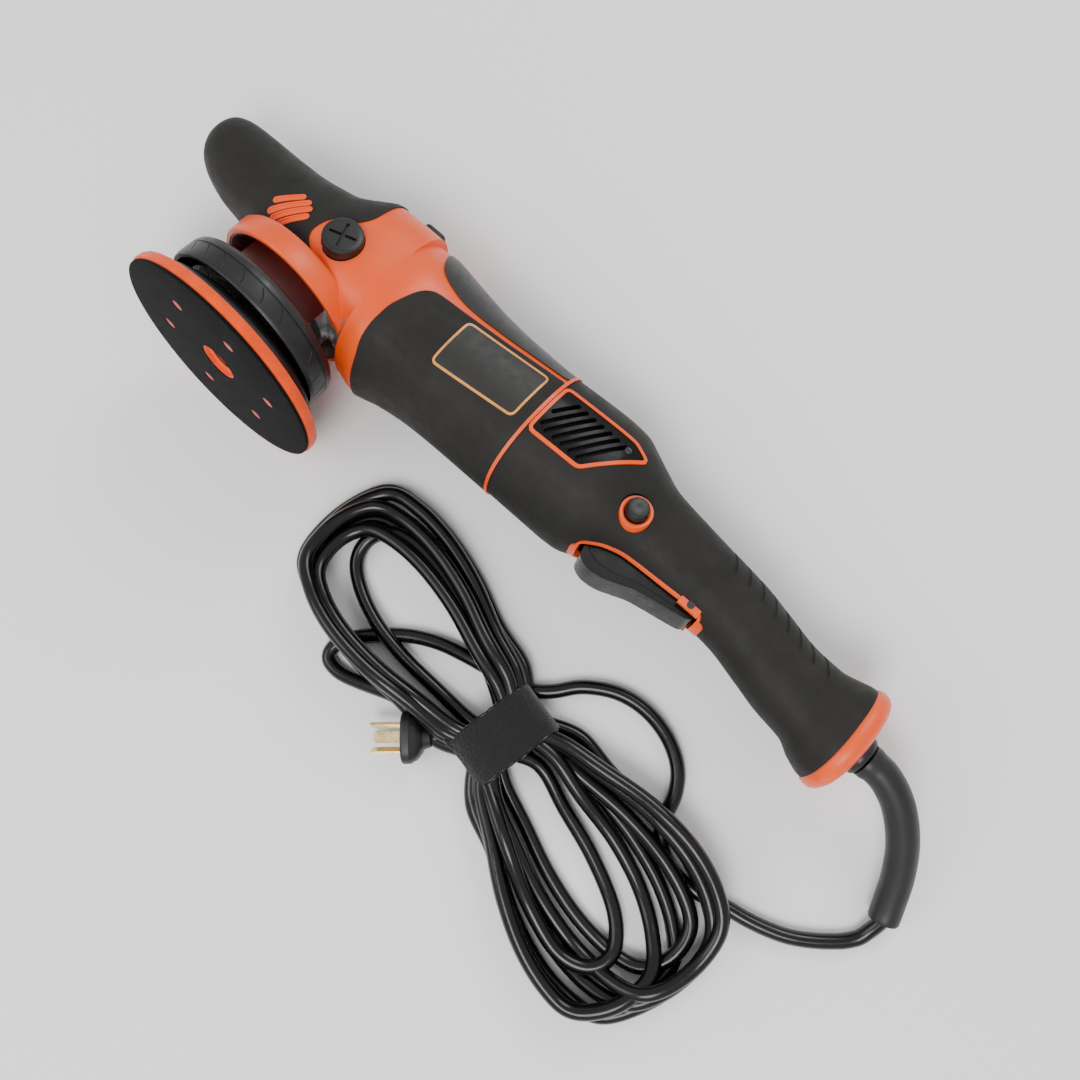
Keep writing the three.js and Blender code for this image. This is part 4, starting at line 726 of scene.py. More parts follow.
def make_strap():
    """Hook and loop tie round the waist of the hank, with its free end lapped over the top."""
    along = Vector((math.cos(STRAP_TURN), math.sin(STRAP_TURN), 0))
    across = Vector((-along.y, along.x, 0))
    centre = Vector((*STRAP_PLACE, 0))
    width = sizes().strap_width / MM / 2

    def band(name, lift, thick, first, last, spread):
        ring, points = strap_ring(STRAP_HALF - 3.4, 1.9, 20.2, lift), []
        outer = strap_ring(STRAP_HALF - 3.4, 1.9, 20.2, lift + thick)
        count = 18
        for section in (outer, ring):
            for k in range(count + 1):
                u = -spread + 2 * spread * k / count
                for i in range(first, last):
                    v, z = section[i % 72]
                    swell = 0.5 * noise.noise(Vector((u * 0.2, v * 0.2, z * 0.2 + lift)))
                    pinch = -0.5 * math.cos(math.pi * u / spread)
                    edge = 0.45 * noise.noise(Vector((v * 0.9, z * 0.9, lift))) if k in (0, count) else 0
                    points.append(centre + along * (u + edge) + across * (v * (1 + 0.01 * (swell + pinch)))
                                  + Vector((0, 0, max(0.15, z + swell + pinch * 0.4))))
        n, closed, faces = last - first, last - first == 72, []
        layer = n * (count + 1)
        for side in (0, 1):
            for k in range(count):
                for i in range(n if closed else n - 1):
                    a, b = side * layer + k * n + i, side * layer + k * n + (i + 1) % n
                    faces.append((a, b, b + n, a + n))
        for k in (0, count):
            for i in range(n if closed else n - 1):
                a, b = k * n + i, k * n + (i + 1) % n
                faces.append((a, b, layer + b, layer + a))
        if not closed:
            for i in (0, n - 1):
                faces += [(k * n + i, (k + 1) * n + i, layer + (k + 1) * n + i, layer + k * n + i)
                          for k in range(count)]
        return outwards(from_mesh(name, points, faces, ROW))

    whole = band("band", 0, 1.5, 0, 72, width)
    flap = band("flap", 1.6, 1.2, 6, 40, width * 0.94)
    strap = joined("hook_and_loop_tie", [whole, flap])
    return settle(strap, "strap", nodes=("cable_strap",), degrees=60)


def plug_matrix():
    turn = Matrix.Rotation(PLUG_TURN, 4, "Z")
    return Matrix.Translation(Vector((*PLUG_PLACE, PLUG_MIDDLE)) * MM) @ turn


def make_plug():
    """Moulded plug: a rounded face flange and a body that tapers to the cord."""
    rows = [(-7.7, 4.4, 4.4, 2), (-7.4, 5.2, 5.2, 2), (-3.5, 6.4, 6.2, 2.2), (-2, 9, 8, 2.6),
            (0.5, 12.2, 9.8, 3),
            (2.4, 12.8, 10.2, 3.2), (2.8, 13.6, 10.6, 3), (6.6, 13.8, 10.8, 3), (7.5, 13.2, 10.2, 3),
            (7.7, 11.5, 9, 3)]
    points = []
    for x, wide, high, power in rows:
        for a in turns(56):
            u, v = math.cos(a), math.sin(a)
            reach = (abs(u) ** power + abs(v) ** power) ** (-1 / power)
            points.append((x, wide * u * reach, high * v * reach))
    count = len(rows) * 56
    faces = rings_to_faces(len(rows), 56) + [tuple(range(56)), tuple(range(count - 56, count))]
    plug = outwards(from_mesh("mains_plug", points, faces, plug_matrix()))
    soften(plug, 0.3, 2)
    return settle(plug, "black", nodes=("plug_body",))


def make_pins():
    """Two slanted blades and an earth blade."""
    blades = []
    for v, w, lean, wide in ((-6.5, 1.5, 0.5, 0), (6.5, 1.5, -0.5, 0), (0, -5, 0, 1)):
        half = (3.1, 0.8) if wide else (0.8, 3.1)
        outline = [(7.2, -half[0]), (23.8, -half[0]), (24.7, -half[0] * 0.5), (24.7, half[0] * 0.5),
                   (23.8, half[0]), (7.2, half[0])]
        blade = prism(outline, -half[1], half[1], "z")
        turn = Matrix.Rotation(lean * 0.6, 4, "X")
        blade.data.transform(Matrix.Translation(Vector((0, v, w)) * MM) @ turn)
        blades.append(blade)
    pins = joined("plug_blades", blades)
    pins.matrix_world = plug_matrix()
    soften(pins, 0.2, 2)
    return settle(pins, "brass", nodes=("plug_pins",))


def make_tether():
    """Small twisted loop that keeps the tie on the cord."""
    middle = Vector((-78, 121, 18.4))
    line = []
    for i in range(61):
        t = i / 60
        a = 2 * math.pi * t
        line.append(middle + Vector((7.5 * math.cos(a), 4.2 * math.sin(a), 1.3 * math.sin(2 * a))))
    twist = [0.85 + 0.28 * math.sin(i * 2.1) for i in range(61)]
    return settle(tube("tie_tether", line, twist, 12, ROW), "strap", degrees=80)


# ---------------------------------------------------------------- head and nose
CAP_PLACE = (-15, -1.3)
STRIPES = [((29.6, -3.6), (19.6, 5.4)), ((28.2, -9.2), (14.6, 4.2)), ((24.4, -11.4), (11.4, 1.6)),
           ((19.4, -12.4), (9.4, -2.6))]


def capsule(a, b, radius):
    a, b = Vector(a), Vector(b)
    ahead = (b - a).normalized()
    start = math.atan2(ahead.y, ahead.x) + math.pi / 2
    ends = []
    for centre, begin in ((a, start), (b, start + math.pi)):
        ends += [(centre.x + radius * math.cos(begin + math.pi * k / 8),
                  centre.y + radius * math.sin(begin + math.pi * k / 8)) for k in range(9)]
    return ends


def nose_places():
    return [*stations(-26, 84, 2.4), 86, 88, 90, 91.8, 93.4, 94.4, 95.1, 95.7, 96.1, 96.35, 96.48]


class MakeHead(bpy.types.Operator):
    """Builds the orange head cover with its skirt, and the rubber nose that is drawn over it"""

    bl_idname = "polisher.make_head"
    bl_label = "Head and nose"

    def execute(self, context):
        lift = sizes().rubber_lift / MM
        inside = loft("inside", HEAD_CASING, stations(-60, 82, 6), -3.2, 48)
        cover = carve(loft("head_cover_shell", HEAD_CASING, stations(HEAD_REAR + 0.25, 8, 2), 0,
                           sizes().around),
                      inside)
        skirt = lathe("skirt", [(39.2, -30.5), (41.2, -30.5), (42, -29.6), (42, -19.5), (40.5, -17.3),
                                (37, -16.4),
                                (33.6, -16.4), (33.6, -18.4), (39.2, -20)], 128)
        well = lathe("well", [(33.4, -60), (33.4, -22), (0, -22), (0, -60)], 64)
        cover = shape(carve(cover, well), "UNION", [skirt])
        window = prism(rounded([(-36, -6.6), (-21, -6.6), (-21, 6.6), (-36, 6.6)], 3), 38, 60, "z")
        cover = carve(cover, window, *[cap_clearance(side) for side in (1, -1)])
        settle(cover, "orange", nodes=("head_cover",))

        nose = carve(loft("nose_grip", HEAD_CASING, nose_places(), lift, sizes().around),
                     loft("inside", HEAD_CASING, stations(-60, 80, 6), -0.2, 48))
        tail = [(-14, 60), (-17.2, 60), (-17.2, 38), (-17.6, 27), (-17.4, 19.4), (-15.6, 14.6), (-12.8, 10.6),
                (-9, 9.6), (-3.4, 6.8), (-0.6, 2.6), (1.0, -2), (1.6, -6.4), (0.2, -10), (-2.6, -12.6),
                (-7.6, -15.6),
                (4, -15.4), (16, -15.6), (29, -15.2), (36, -13.6), (39.5, -16), (42, -24), (43, -60),
(120, -60),
                (120, 60)]
        nose = keep(nose, prism(rounded(list(reversed(tail)), 2.2, 3), -60, 60))
        nose = carve(nose, *[cap_clearance(side) for side in (1, -1)])
        settle(nose, "rubber", nodes=("front_grip",))
        self.stripes(lift)
        # Painted shade: a dark red sheet inside the skirt, where shade falls under the head cover
        under = lathe("painted_skirt_shade", [(38.8, -17.5), (39, -30), (38.2, -30.2), (33, -23), (33, -17.5)], 96)
        settle(under, "shade")
        # Painted shade and reflection: a dark red sheet round the gear case's neck
        self.neck_guard()
        return {"FINISHED"}

    def neck_guard(self):
        """Dark red sheet round the neck of the gear case, open at the back where the casting shows: painted
        shade and painted red reflection in place of the polished casting's dark side.
        """
        around, first, last = 88, math.radians(-158), math.radians(150)
        rows = [(30.2, -24), (30.4, -33), (30.2, -38), (29.4, -41.6), (28.6, -42.6), (28, -42.6), (28.6, -38),
                (29.7, -33), (29.8, -24)]
        bearings = [first + (last - first) * k / around for k in range(around + 1)]
        points = [(r * math.cos(a), r * math.sin(a), z) for r, z in rows for a in bearings]
        n = around + 1
        faces = [(i * n + k, i * n + k + 1, (i + 1) % len(rows) * n + k + 1, (i + 1) % len(rows) * n + k)
                 for i in range(len(rows)) for k in range(around)]
        faces += [tuple(i * n + k for i in range(len(rows))) for k in (0, around)]
        settle(outwards(from_mesh("neck_guard", points, faces)), "shade")

    def stripes(self, lift):
        bars = []
        for side in (1, -1):
            for a, b in STRIPES:
                skin = loft("skin", HEAD_CASING, stations(4, 36, 1.2), lift + 0.55, 160)
                outer = prism(capsule(a, b, 1.75), *((8, 60) if side > 0 else (-60, -8)))
                bar = carve(keep(skin, outer), loft("skin", HEAD_CASING, stations(0, 40, 3), lift - 0.5, 96))
                inner = prism(capsule(a, b, 0.85), *((8, 60) if side > 0 else (-60, -8)))
                groove = carve(inner, loft("floor", HEAD_CASING, stations(0, 40, 3), lift + 0.2, 96))
                bars.append(carve(bar, groove))
        settle(joined("nose_stripes", bars), "orange")


def facing(side, x, z, y=0.0):
    """A frame on the tool's side with its z pointing outwards."""
    turn = Matrix.Rotation(-side * math.pi / 2, 4, "X")
    return TOOL @ Matrix.Translation(Vector((x, side * y, z)) * MM) @ turn


def cap_clearance(side):
    ring = lathe("clearance", [(0, 20), (10.9, 20), (10.9, 60), (0, 60)], 64, facing(side, *CAP_PLACE))
    ring.data.transform(TOOL.inverted() @ ring.matrix_world)
    ring.matrix_world = TOOL
    return ring


class MakeCaps(bpy.types.Operator):
    """Builds the screw caps on both sides of the head and the spindle lock button on its top"""

    bl_idname = "polisher.make_caps"
    bl_label = "Side caps and spindle lock"

    def execute(self, context):
        for word, side in (("left", 1), ("right", -1)):
            cap = lathe("screw_cap_" + word, [(0, 26), (4, 26), (4, 34), (10.4, 34), (10.5, 34.4),
                                              (10.5, 39.9),
                                              (10.2, 40.9), (9.3, 41.4), (7.4, 41.5), (0, 41.5)], 72,
                        facing(side, *CAP_PLACE))
            for half in ((7.2, 0.8), (0.8, 7.2)):
                outline = [(-half[0], -half[1]), (half[0], -half[1]), (half[0], half[1]), (-half[0], half[1])]
                slot = prism(rounded(outline, 0.7), 40, 44, "z")
                slot.data.transform(Matrix.Rotation(0.35, 4, "Z"))
                slot.matrix_world = cap.matrix_world
                cap = carve(cap, slot)
            soften(cap, 0.2, 2)
            settle(cap, "black", nodes=("side_cap_" + word,))
        top = HEAD_CASING.section(-28.5)
        base = top[0] + top[2]
        knob = prism(rounded([(-35.3, -5.8), (-21.7, -5.8), (-21.7, 5.8), (-35.3, 5.8)], 3.4, 6), base - 8,
                     base + 7.8,
                     "z")
        soften(knob, 1.6, 4)
        pin = tube("pin", [(-32.25, 0, 12), (-32.25, 0, base - 7.5)], 2, 20)
        knob = joined("spindle_lock_knob", [knob, pin])
        soften(knob, 1.3, 3)
        settle(knob, "black", "spindle_lock", ("spindle_lock_button",))
        return {"FINISHED"}


# ---------------------------------------------------------------- motor casing
BADGE = [(-137, 15.8), (-137, -13.2), (-88.6, -18.4), (-88.6, 9.8)]
RUBBER_SIDE = [(-143.6, 20.2), (-143.6, -80), (-58, -80), (-57.6, -38), (-55.2, -31), (-55, -24),
               (-56.4, -12),
               (-59.2, -3), (-60.6, 1.4), (-63.2, 6.2), (-67, 9.4), (-73, 10.6), (-81, 11.4), (-92, 12.9),
               (-110, 15.2), (-128, 17.9)]
TOP_INSET = [(-143.6, 23.4), (-128, 21.2), (-110, 18.4), (-92, 16.2), (-81, 15.8), (-74, 17), (-66, 19.4),
             (-60.4, 22.6), (-57, 27), (-54.4, 32), (-53, 37), (-52.8, 80), (-143.6, 80)]


def counter_clockwise(outline):
    area = sum(a[0] * b[1] - b[0] * a[1] for a, b in zip(outline, outline[1:] + outline[:1]))
    return outline if area > 0 else list(reversed(outline))


def one_side(outline, side):
    return prism(outline, *((10, 70) if side > 0 else (-70, -10)))


class MakeMotorCasing(bpy.types.Operator):
    """Builds the orange collar and motor casing, its rubber sides, top inset and name plates"""

    bl_idname = "polisher.make_motor_casing"
    bl_label = "Motor casing"

    def execute(self, context):
        lift, around = sizes().rubber_lift / MM, sizes().around
        casing = shell("motor_casing", BODY_CASING, HEAD_REAR - 0.25, -143.2, -0.25, -3, 2.2, around)
        settle(casing, "orange", nodes=("collar", "motor_housing"))
        side = shell("skin", BODY_CASING, -46, -143.3, lift, -1.6, 1.8, around, 0.3)
        outline = counter_clockwise(rounded(RUBBER_SIDE, 2.6, 3))
        side = keep(side, prism(outline, -70, 70))
        for hand in (1, -1):
            badge = counter_clockwise(rounded(BADGE, 3.6, 5))
            side = carve(side, one_side(grown(badge, 0.2), hand))
        settle(side, "rubber")
        top = shell("skin", BODY_CASING, -46, -143.3, lift - 0.1, -1.6, 1.8, around, 0.3)
        settle(keep(top, prism(counter_clockwise(rounded(TOP_INSET, 3.4, 4)), -70, 70)),
               "black").name = "top_inset"
        side.name = "rubber_sides"
        for word, hand in (("left", 1), ("right", -1)):
            self.badge(word, hand, lift, around)
        ring = shell("seam_band", BODY_CASING, -143.35, -144.65, lift + 0.15, -3, 0.6, around, 0.25)
        settle(ring, "orange", nodes=("seam_ring",))
        return {"FINISHED"}

    def badge(self, word, hand, lift, around):
        edge = counter_clockwise(rounded(BADGE, 3.6, 5))
        rim = shell("skin", BODY_CASING, -84, -141, lift + 0.2, -1.5, 1.5, around, 0.2)
        rim = carve(keep(rim, one_side(edge, hand)), one_side(grown(edge, -1.15), hand))
        rim.name = "badge_line_" + word
        settle(rim, "gold")
        plate = shell("skin", BODY_CASING, -84, -141, lift - 0.05, -1.5, 1.5, around, 0.2)
        plate = keep(plate, one_side(grown(edge, -1.2), hand))
        plate.name = "name_plate_" + word
        settle(plate, "plate", nodes=("badge_plate_" + word,))


# ---------------------------------------------------------------- rear handle
VENT = [(-147.2, -10.6), (-147.2, 17.4), (-188.4, 19.4), (-197.4, 16.6), (-176, -9.6)]
DIAL_PLACE = (-182, 30)
LOCK_PLACE = (-210.7, -5.4)
TRIGGER_SLOT = [(-266, -11), (-199.3, -11), (-199.3, 11), (-266, 11)]


class MakeHandle(bpy.types.Operator):
    """Builds the rubber handle with its openings and grip grooves"""

    bl_idname = "polisher.make_handle"
    bl_label = "Rear handle"

    def execute(self, context):
        handle = shell("rear_handle", BODY_CASING, -144.8, HANDLE_REAR, 0, -3, 1.9, sizes().around)
        tools = [one_side(grown(counter_clockwise(rounded(VENT, 2, 3)), 2.0), side) for side in (1, -1)]
        dial = [(-195, -3.4), (-169, -3.4), (-169, 3.4), (-195, 3.4)]
        tools.append(prism(rounded(dial, 1.2), 30, 60, "z"))
        tools.append(prism(grown(rounded(TRIGGER_SLOT, 3), 1.7), -60, -5, "z"))
        hole = lathe("hole", [(0, 10), (8.8, 10), (8.8, 60), (0, 60)], 48, facing(1, *LOCK_PLACE))
        hole.data.transform(TOOL.inverted() @ hole.matrix_world)
        hole.matrix_world = TOOL
        tools.append(hole)
        for side in (1, -1):
            for i in range(8):
                x = -256 - i * 9.2
                line = [BODY_CASING.at(x - 9 * t, math.pi / 2 - side * (0.3 + 0.95 * t), 0.15)
                        for t in [k / 10 for k in range(11)]]
                tools.append(tube("groove", line, [0.4] + [1.05] * 9 + [0.4], 10))
        handle = carve(handle, *tools)
        settle(handle, "rubber", nodes=("handle_shell_left", "handle_shell_right"))
        return {"FINISHED"}


class MakeVents(bpy.types.Operator):
    """Builds the orange vent frames, the slotted grilles and their screws"""

    bl_idname = "polisher.make_vents"
    bl_label = "Vents"

    def execute(self, context):
        outline = counter_clockwise(rounded(VENT, 2, 3))
        for word, side in (("left", 1), ("right", -1)):
            rim = shell("skin", BODY_CASING, -144.9, -203, 0.75, -2.4, 1.4, sizes().around, 0.3)
            rim = carve(keep(rim, one_side(grown(outline, 1.9), side)), one_side(grown(outline, 0.1), side))
            rim.name = "vent_rim_" + word
            settle(rim, "orange", nodes=("vent_frame_" + word,))
            plate = shell("skin", BODY_CASING, -144.9, -203, 0.25, -2.2, 1.4, sizes().around, 0.3)
            plate = keep(plate, one_side(outline, side))
            cuts = []
            for i in range(7):
                x = -147.6 - i * 5.0
                foot, head = max(-7.2, 5 - (-149.6 - x + 3.4) / 0.62), 13.8
                a, b = (x + (5 - foot) * 0.62 - 3.4, foot), (x + (5 - head) * 0.62 - 3.4, head)
                cuts.append(one_side(counter_clockwise(capsule(a, b, 1.25)), side))
            plate = carve(plate, *cuts)
            plate.name = "vent_slats_" + word
            soften(plate, 0.25, 2)
            settle(plate, "gloss", nodes=("vent_grille_" + word,))
            spot = BODY_CASING.beside(-188.4, 13.4, 0)
            screw = lathe("vent_screw_" + word, [(0, -3), (1.9, -3), (1.9, 0.2), (1.5, 0.6), (0, 0.7)], 32,
                          facing(side, -188.4, 13.4, spot.y))
            notch = prism([(-1.3, -0.25), (1.3, -0.25), (1.3, 0.25), (-1.3, 0.25)], 0.2, 2, "z")
            notch.matrix_world = screw.matrix_world
            settle(carve(screw, notch), "black")
            backing = shell("vent_backing_" + word, BODY_CASING, -146, -200, -3.4, -4, 3, 64, 0.2)
            backing = keep(backing, one_side(grown(outline, 1.2), side))
            settle(backing, "black")
        return {"FINISHED"}


class MakeControls(bpy.types.Operator):
    """Builds the lock-on button with its ring, the speed dial, the trigger and its bezel"""

    bl_idname = "polisher.make_controls"
    bl_label = "Controls"

    def execute(self, context):
        ring = lathe("lock_ring", [(6.1, 19), (8.5, 19), (8.5, 27.5), (8.1, 28.2), (6.9, 28.2),
                                   (6.1, 27.4)], 64,
                     facing(1, *LOCK_PLACE))
        settle(ring, "orange", nodes=("lock_button_ring",))
        button = lathe("lock_on_cap", [(0, 15.6), (7.6, 15.6), (7.6, 18.2), (5.7, 18.4), (5.7, 32.2),
                                       (5.3, 33),
                                       (4.4, 33.4), (2, 33.2), (0, 33.1)], 64, facing(1, *LOCK_PLACE))
        settle(button, "black", "lock_on", ("lock_on_button",))
        self.dial()
        self.trigger()
        return {"FINISHED"}

    def dial(self):
        x, z = DIAL_PLACE
        rim = []
        for k in range(28):
            for share, radius in ((0, 12.45), (0.35, 12.45), (0.5, 11.6), (0.85, 11.6)):
                a = 2 * math.pi * (k + share) / 28
                rim.append((x + radius * math.cos(a), z + radius * math.sin(a)))
        wheel = prism(rim, -2.9, 2.9)
        axle = tube("axle", [(x, -6.9, z), (x, 6.9, z)], 2, 24)
        wheel = joined("speed_wheel", [wheel, axle])
        soften(wheel, 0.3, 2)
        settle(wheel, "black", "dial", ("speed_dial",))

    def trigger(self):
        under = [(-264.6, -19.5), (-262.5, -22.8), (-254, -25), (-244, -27), (-234, -29.3), (-226, -32.6),
                 (-218.5, -35.6), (-210, -36.6), (-203.6, -34.2), (-201.6, -29.5)]
        line = [tuple(p) for p in smooth_line(under, 1.5)]
        paddle = prism([*line, (-201.6, -13), (-264.6, -13.5)], -9.9, 9.9)
        bore = tube("bore", [(-259, -20, -17.5), (-259, 20, -17.5)], 2.3, 24)
        inset = [(p[0] * 0.96 - 233 * 0.04, -14 + (p[1] + 14) * 0.74) for p in line]
        panel = [*inset, (-204, -14.5), (-262, -14.5)]
        for low, high in ((9.45, 12), (-12, -9.45)):
            paddle = carve(paddle, prism(panel, low, high))
        paddle = carve(paddle, bore)
        paddle.name = "trigger_paddle"
        soften(paddle, 1.1, 4, 50)
        settle(paddle, "gloss", "trigger", ("trigger",))
        slot = rounded(TRIGGER_SLOT, 3)
        rim = shell("skin", BODY_CASING, -190, -280, 0.7, -3, 1.6, sizes().around, 0.3)
        outer = shape(prism(grown(slot, 1.5), -60, -6, "z"), "UNION",
                      [prism(rounded([(-271, -8), (-196, -8), (-196, 8), (-271, 8)], 3), -60, -6, "z")])
        rim = carve(keep(rim, outer), prism(slot, -61, 0, "z"))
        cheeks = [prism([(-265, -20.5), (-253, -20.5), (-253, -12.5), (-265, -12.5)], *ends)
                  for ends in ((11.2, 13.4), (-13.4, -11.2))]
        bezel = joined("trigger_rim", [rim, *cheeks])
        settle(bezel, "orange", nodes=("trigger_bezel",))


class MakeEndCap(bpy.types.Operator):
    """Builds the flared orange end cap and the black gland where the cord comes out"""

    bl_idname = "polisher.make_end_cap"
    bl_label = "End cap and gland"

    def execute(self, context):
        centre, wide, high = BODY_CASING.section(-352)
        rows = [(-348, -3.2), (-352.25, -0.6), (-352.35, 0.1), (-353.4, 0.9), (-356, 1.5), (-358.6, 1.1),
                (-360.6, -0.3), (-362, -2.6), (-363, -5.6), (-363.6, -9), (-363.9, -12.5), (-363.8, -15.4),
                (-358, -15.6)]
        points = []
        for x, margin in rows:
            blend = max(0.0, min(1.0, (-margin - 4) / 11))
            power = 2.3 - 0.3 * blend
            for a in turns(112):
                u, v = math.cos(a), math.sin(a)
                reach = (abs(u) ** power + abs(v) ** power) ** (-1 / power)
                w, h = wide + margin, high + margin
                w, h = w + (9.9 - w) * blend**2, h + (9.9 - h) * blend**2
                points.append((x, w * u * reach, centre + (-13.5 - centre) * blend + h * v * reach))
        cap = outwards(from_mesh("handle_end_cap", points, rings_to_faces(len(rows), 112)))
        settle(cap, "orange", nodes=("end_cap",), degrees=50)
        profile = [(4.3, -352), (9.2, -352), (9.2, -364.6), (10.3, -364.9), (10.6, -365.8), (10.4, -367.8),
                   (9.6, -368.9), (8.6, -369), (4.3, -369)]
        side = Matrix.Rotation(math.pi / 2, 4, "Y")
        turned = TOOL @ Matrix.Translation(Vector((0, 0, -13.5)) * MM) @ side
        gland = lathe("cord_gland", profile, 64, turned)
        settle(gland, "black", nodes=("cable_gland",))
        return {"FINISHED"}


# ---------------------------------------------------------------- plate
class MakePlate(bpy.types.Operator):
    """Builds the shroud, the backing plate, its foam layer and the hook face with its holes"""

    bl_idname = "polisher.make_plate"
    bl_label = "Shroud and backing plate"

    def execute(self, context):
        self.shroud()
        disc = lathe("hard_plate", [(4.4, -69.2), (55, -69.2), (55.3, -68.6), (54.6, -66.6), (51.5, -64),
                                    (48.6, -62.6),
                                    (46.9, -61.4), (45.9, -61.2), (4.4, -61.2)], 160, PLATE)
        settle(disc, "black", "plate", ("backing_plate",))
        rim = [(10.6, -75.9), (61.2, -75.9), (62, -75.4), (62.5, -74.6), (62.3, -71.8), (61.6, -70.2),
               (60.2, -69.55),
               (58, -69.5), (10.6, -69.5)]
        foam = carve(lathe("foam_disc", rim, 160, PLATE), *self.holes(-80, -60))
        settle(foam, "foam", "plate", ("foam_layer",))
        face = [(10.8, -77.8), (61.3, -77.8), (61.7, -77.5), (61.7, -76.4), (61.3, -76.2), (10.8, -76.2)]
        face = carve(lathe("hook_disc", face, 160, PLATE), *self.holes(-80, -70))
        settle(face, "hook", "plate", ("hook_face",))
        # Painted light: pale pink walls in the dust holes, the foam's colour made brighter where light
        # catches them
        lit_hole_walls = []
        for angle in self.angles():
            place = PLATE @ Matrix.Translation(Vector((36 * math.cos(angle), 36 * math.sin(angle), 0)) * MM)
            lit_hole_wall = lathe("lit_hole_wall", [(3.28, -77.4), (3.28, -70.6), (0, -70.4), (2.6, -71.2),
                                      (2.9, -77.4)], 32, place)
            lit_hole_wall.data.transform(PLATE.inverted() @ place)
            lit_hole_wall.matrix_world = PLATE
            lit_hole_walls.append(lit_hole_wall)
        settle(joined("dust_hole_painted_light", lit_hole_walls), "foam_painted_light", "plate")
        cup = lathe("centre_cup", [(10.55, -77.3), (10.55, -74.6), (7.2, -74.3), (7.2, -74.7), (9.9, -75),
                                   (10, -77.3)],
                    64, PLATE)
        settle(cup, "foam", "plate")
        return {"FINISHED"}

    def angles(self):
        return [2 * math.pi * i / 6 - 0.14 for i in range(6)]

    def holes(self, low, high):
        drills = []
        for angle in self.angles():
            x, y = 36 * math.cos(angle), 36 * math.sin(angle)
            drills.append(tube("drill", [(x, y, low), (x, y, high)], 3.3, 32, PLATE))
        return drills

    def shroud(self):
        profile = [(28.8, -43.2), (43.5, -43.2), (45.8, -43.9), (47.4, -45.4), (48.1, -47.2), (48.3, -49.3),
                   (47.8, -49.6), (47.8, -50.1), (48.4, -50.4), (48.5, -57.6), (48.3, -59.2), (47.7, -60),
                   (45.9, -60), (45.6, -59), (45.5, -46.2), (28.8, -46)]
        shroud = lathe("dust_shroud", profile, 192)
        lines = []
        for k in range(24):
            a = 2 * math.pi * k / 24
            arc = [((48.5) * math.cos(a + 0.09 * math.sin(math.pi * t / 2)),
                    (48.5) * math.sin(a + 0.09 * math.sin(math.pi * t / 2)), -50.8 - 6.4 * t)
                   for t in [i / 8 for i in range(9)]]
            lines.append(tube("rib_line", arc, 0.42, 8))
        settle(carve(shroud, joined("rib_lines", lines)), "black", nodes=("shroud",))


INSIDE = {
    "cast": ["gear_case"],
    "steel": ["plate_bolt", "plate_stud", "counterweight", "spindle", "bevel_gear", "eccentric_bearing",
              "armature_shaft", "bevel_pinion", "armature_core", "front_bearing", "rear_bearing",
              "upper_spindle_bearing", "lower_spindle_bearing", "stator_core"],
    "copper": ["armature_winding", "commutator"],
    "carbon": ["carbon_brush_left", "carbon_brush_right"],
    "brass": ["brush_holder_left", "brush_holder_right"],
    "black": ["trigger_pin", "cooling_fan", "speed_controller", "switch_module", "cord_clamp"],
    "pvc": ["cord_inner_end"],
}


class DressInside(bpy.types.Operator):
    """Gives the gear case, the motor and the other inner pieces their metal and plastic finishes"""

    bl_idname = "polisher.dress_inside"
    bl_label = "Inner pieces"

    def execute(self, context):
        for look, names in INSIDE.items():
            for name in names:
                dress(frame["nodes"][name], look)
        return {"FINISHED"}


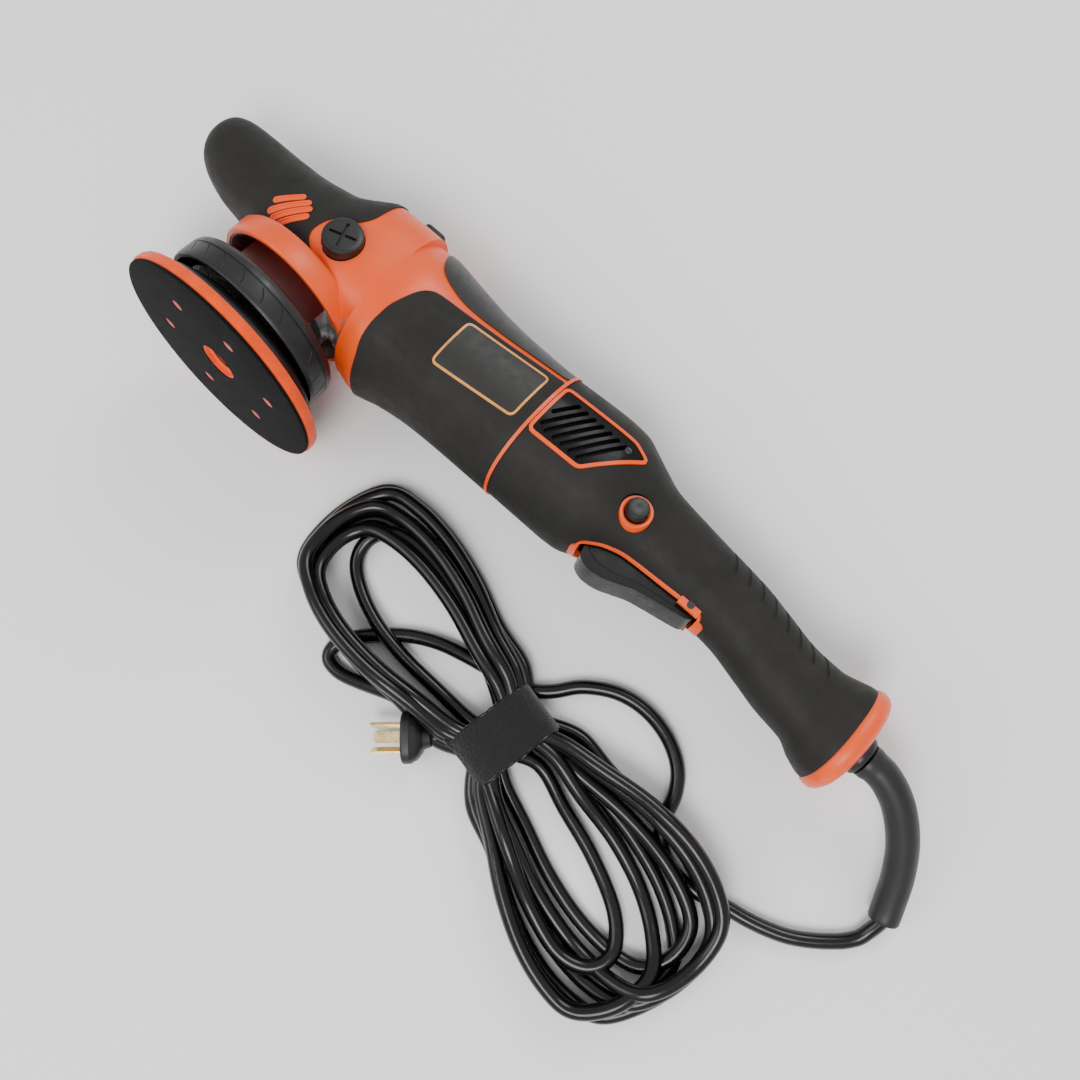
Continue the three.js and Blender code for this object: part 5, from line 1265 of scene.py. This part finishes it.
# ---------------------------------------------------------------- stage
class MakeStage(bpy.types.Operator):
    """Sets the pale floor and the soft studio lights"""

    bl_idname = "polisher.make_stage"
    bl_label = "Stage"

    def execute(self, context):
        floor = from_mesh("floor", [(-9000, -9000, 0), (9000, -9000, 0), (9000, 9000, 0), (-9000, 9000, 0)],
                          [(0, 1, 2, 3)], ROW)
        material, _, shader = sockets("pale floor")
        shader.inputs["Base Color"].default_value = (0.985, 0.985, 0.985, 1)
        shader.inputs["Roughness"].default_value = 0.85
        shader.inputs["Specular IOR Level"].default_value = 0.1
        floor.data.materials.append(material)
        world = bpy.data.worlds.new("studio")
        world.use_nodes = True
        world.node_tree.nodes["Background"].inputs["Color"].default_value = (1, 1, 1, 1)
        world.node_tree.nodes["Background"].inputs["Strength"].default_value = 0.72
        context.scene.world = world
        self.lamp("key_light", (-0.5, 0.7, 1.5), 0.8, 17)
        self.lamp("fill_light", (0.7, 0.9, 1.2), 1.0, 7)
        self.lamp("rim_light", (0.1, -1.3, 1.1), 0.8, 9)
        return {"FINISHED"}

    def lamp(self, name, place, size, power):
        light = bpy.data.lights.new(name, "AREA")
        light.shape, light.size, light.energy = "DISK", size, power
        lamp = bpy.data.objects.new(name, light)
        bpy.context.scene.collection.objects.link(lamp)
        lamp.location = place
        aim = Vector((-0.05, 0.03, 0.03)) - Vector(place)
        lamp.rotation_euler = aim.to_track_quat("-Z", "Y").to_euler()


STEPS = (MakeCamera, MakeCord, MakeHead, MakeCaps, MakeMotorCasing, MakeHandle, MakeVents, MakeControls,
         MakeEndCap,
         MakePlate, DressInside, MakeStage)


class PolisherPanel(bpy.types.Panel):
    """Settings and making steps of the polisher"""

    bl_idname = "VIEW3D_PT_polisher"
    bl_label = "Polisher"
    bl_space_type = "VIEW_3D"
    bl_region_type = "UI"
    bl_category = "Polisher"

    def draw(self, context):
        for settings in (context.scene.polisher_colours, context.scene.polisher_sizes):
            for name in settings.__annotations__:
                self.layout.prop(settings, name)
        for step in STEPS:
            self.layout.operator(step.bl_idname)


CLASSES = (PolisherColours, PolisherSizes, *STEPS, PolisherPanel)


def register():
    for cls in CLASSES:
        bpy.utils.register_class(cls)
    bpy.types.Scene.polisher_colours = PointerProperty(type=PolisherColours)
    bpy.types.Scene.polisher_sizes = PointerProperty(type=PolisherSizes)


def unregister():
    del bpy.types.Scene.polisher_sizes
    del bpy.types.Scene.polisher_colours
    for cls in reversed(CLASSES):
        bpy.utils.unregister_class(cls)


def main():
    register()
    make_finishes(bpy.context.scene.polisher_colours)
    for step in STEPS:
        group, name = step.bl_idname.split(".")
        getattr(getattr(bpy.ops, group), name)()


if __name__ == "__main__":
    main()
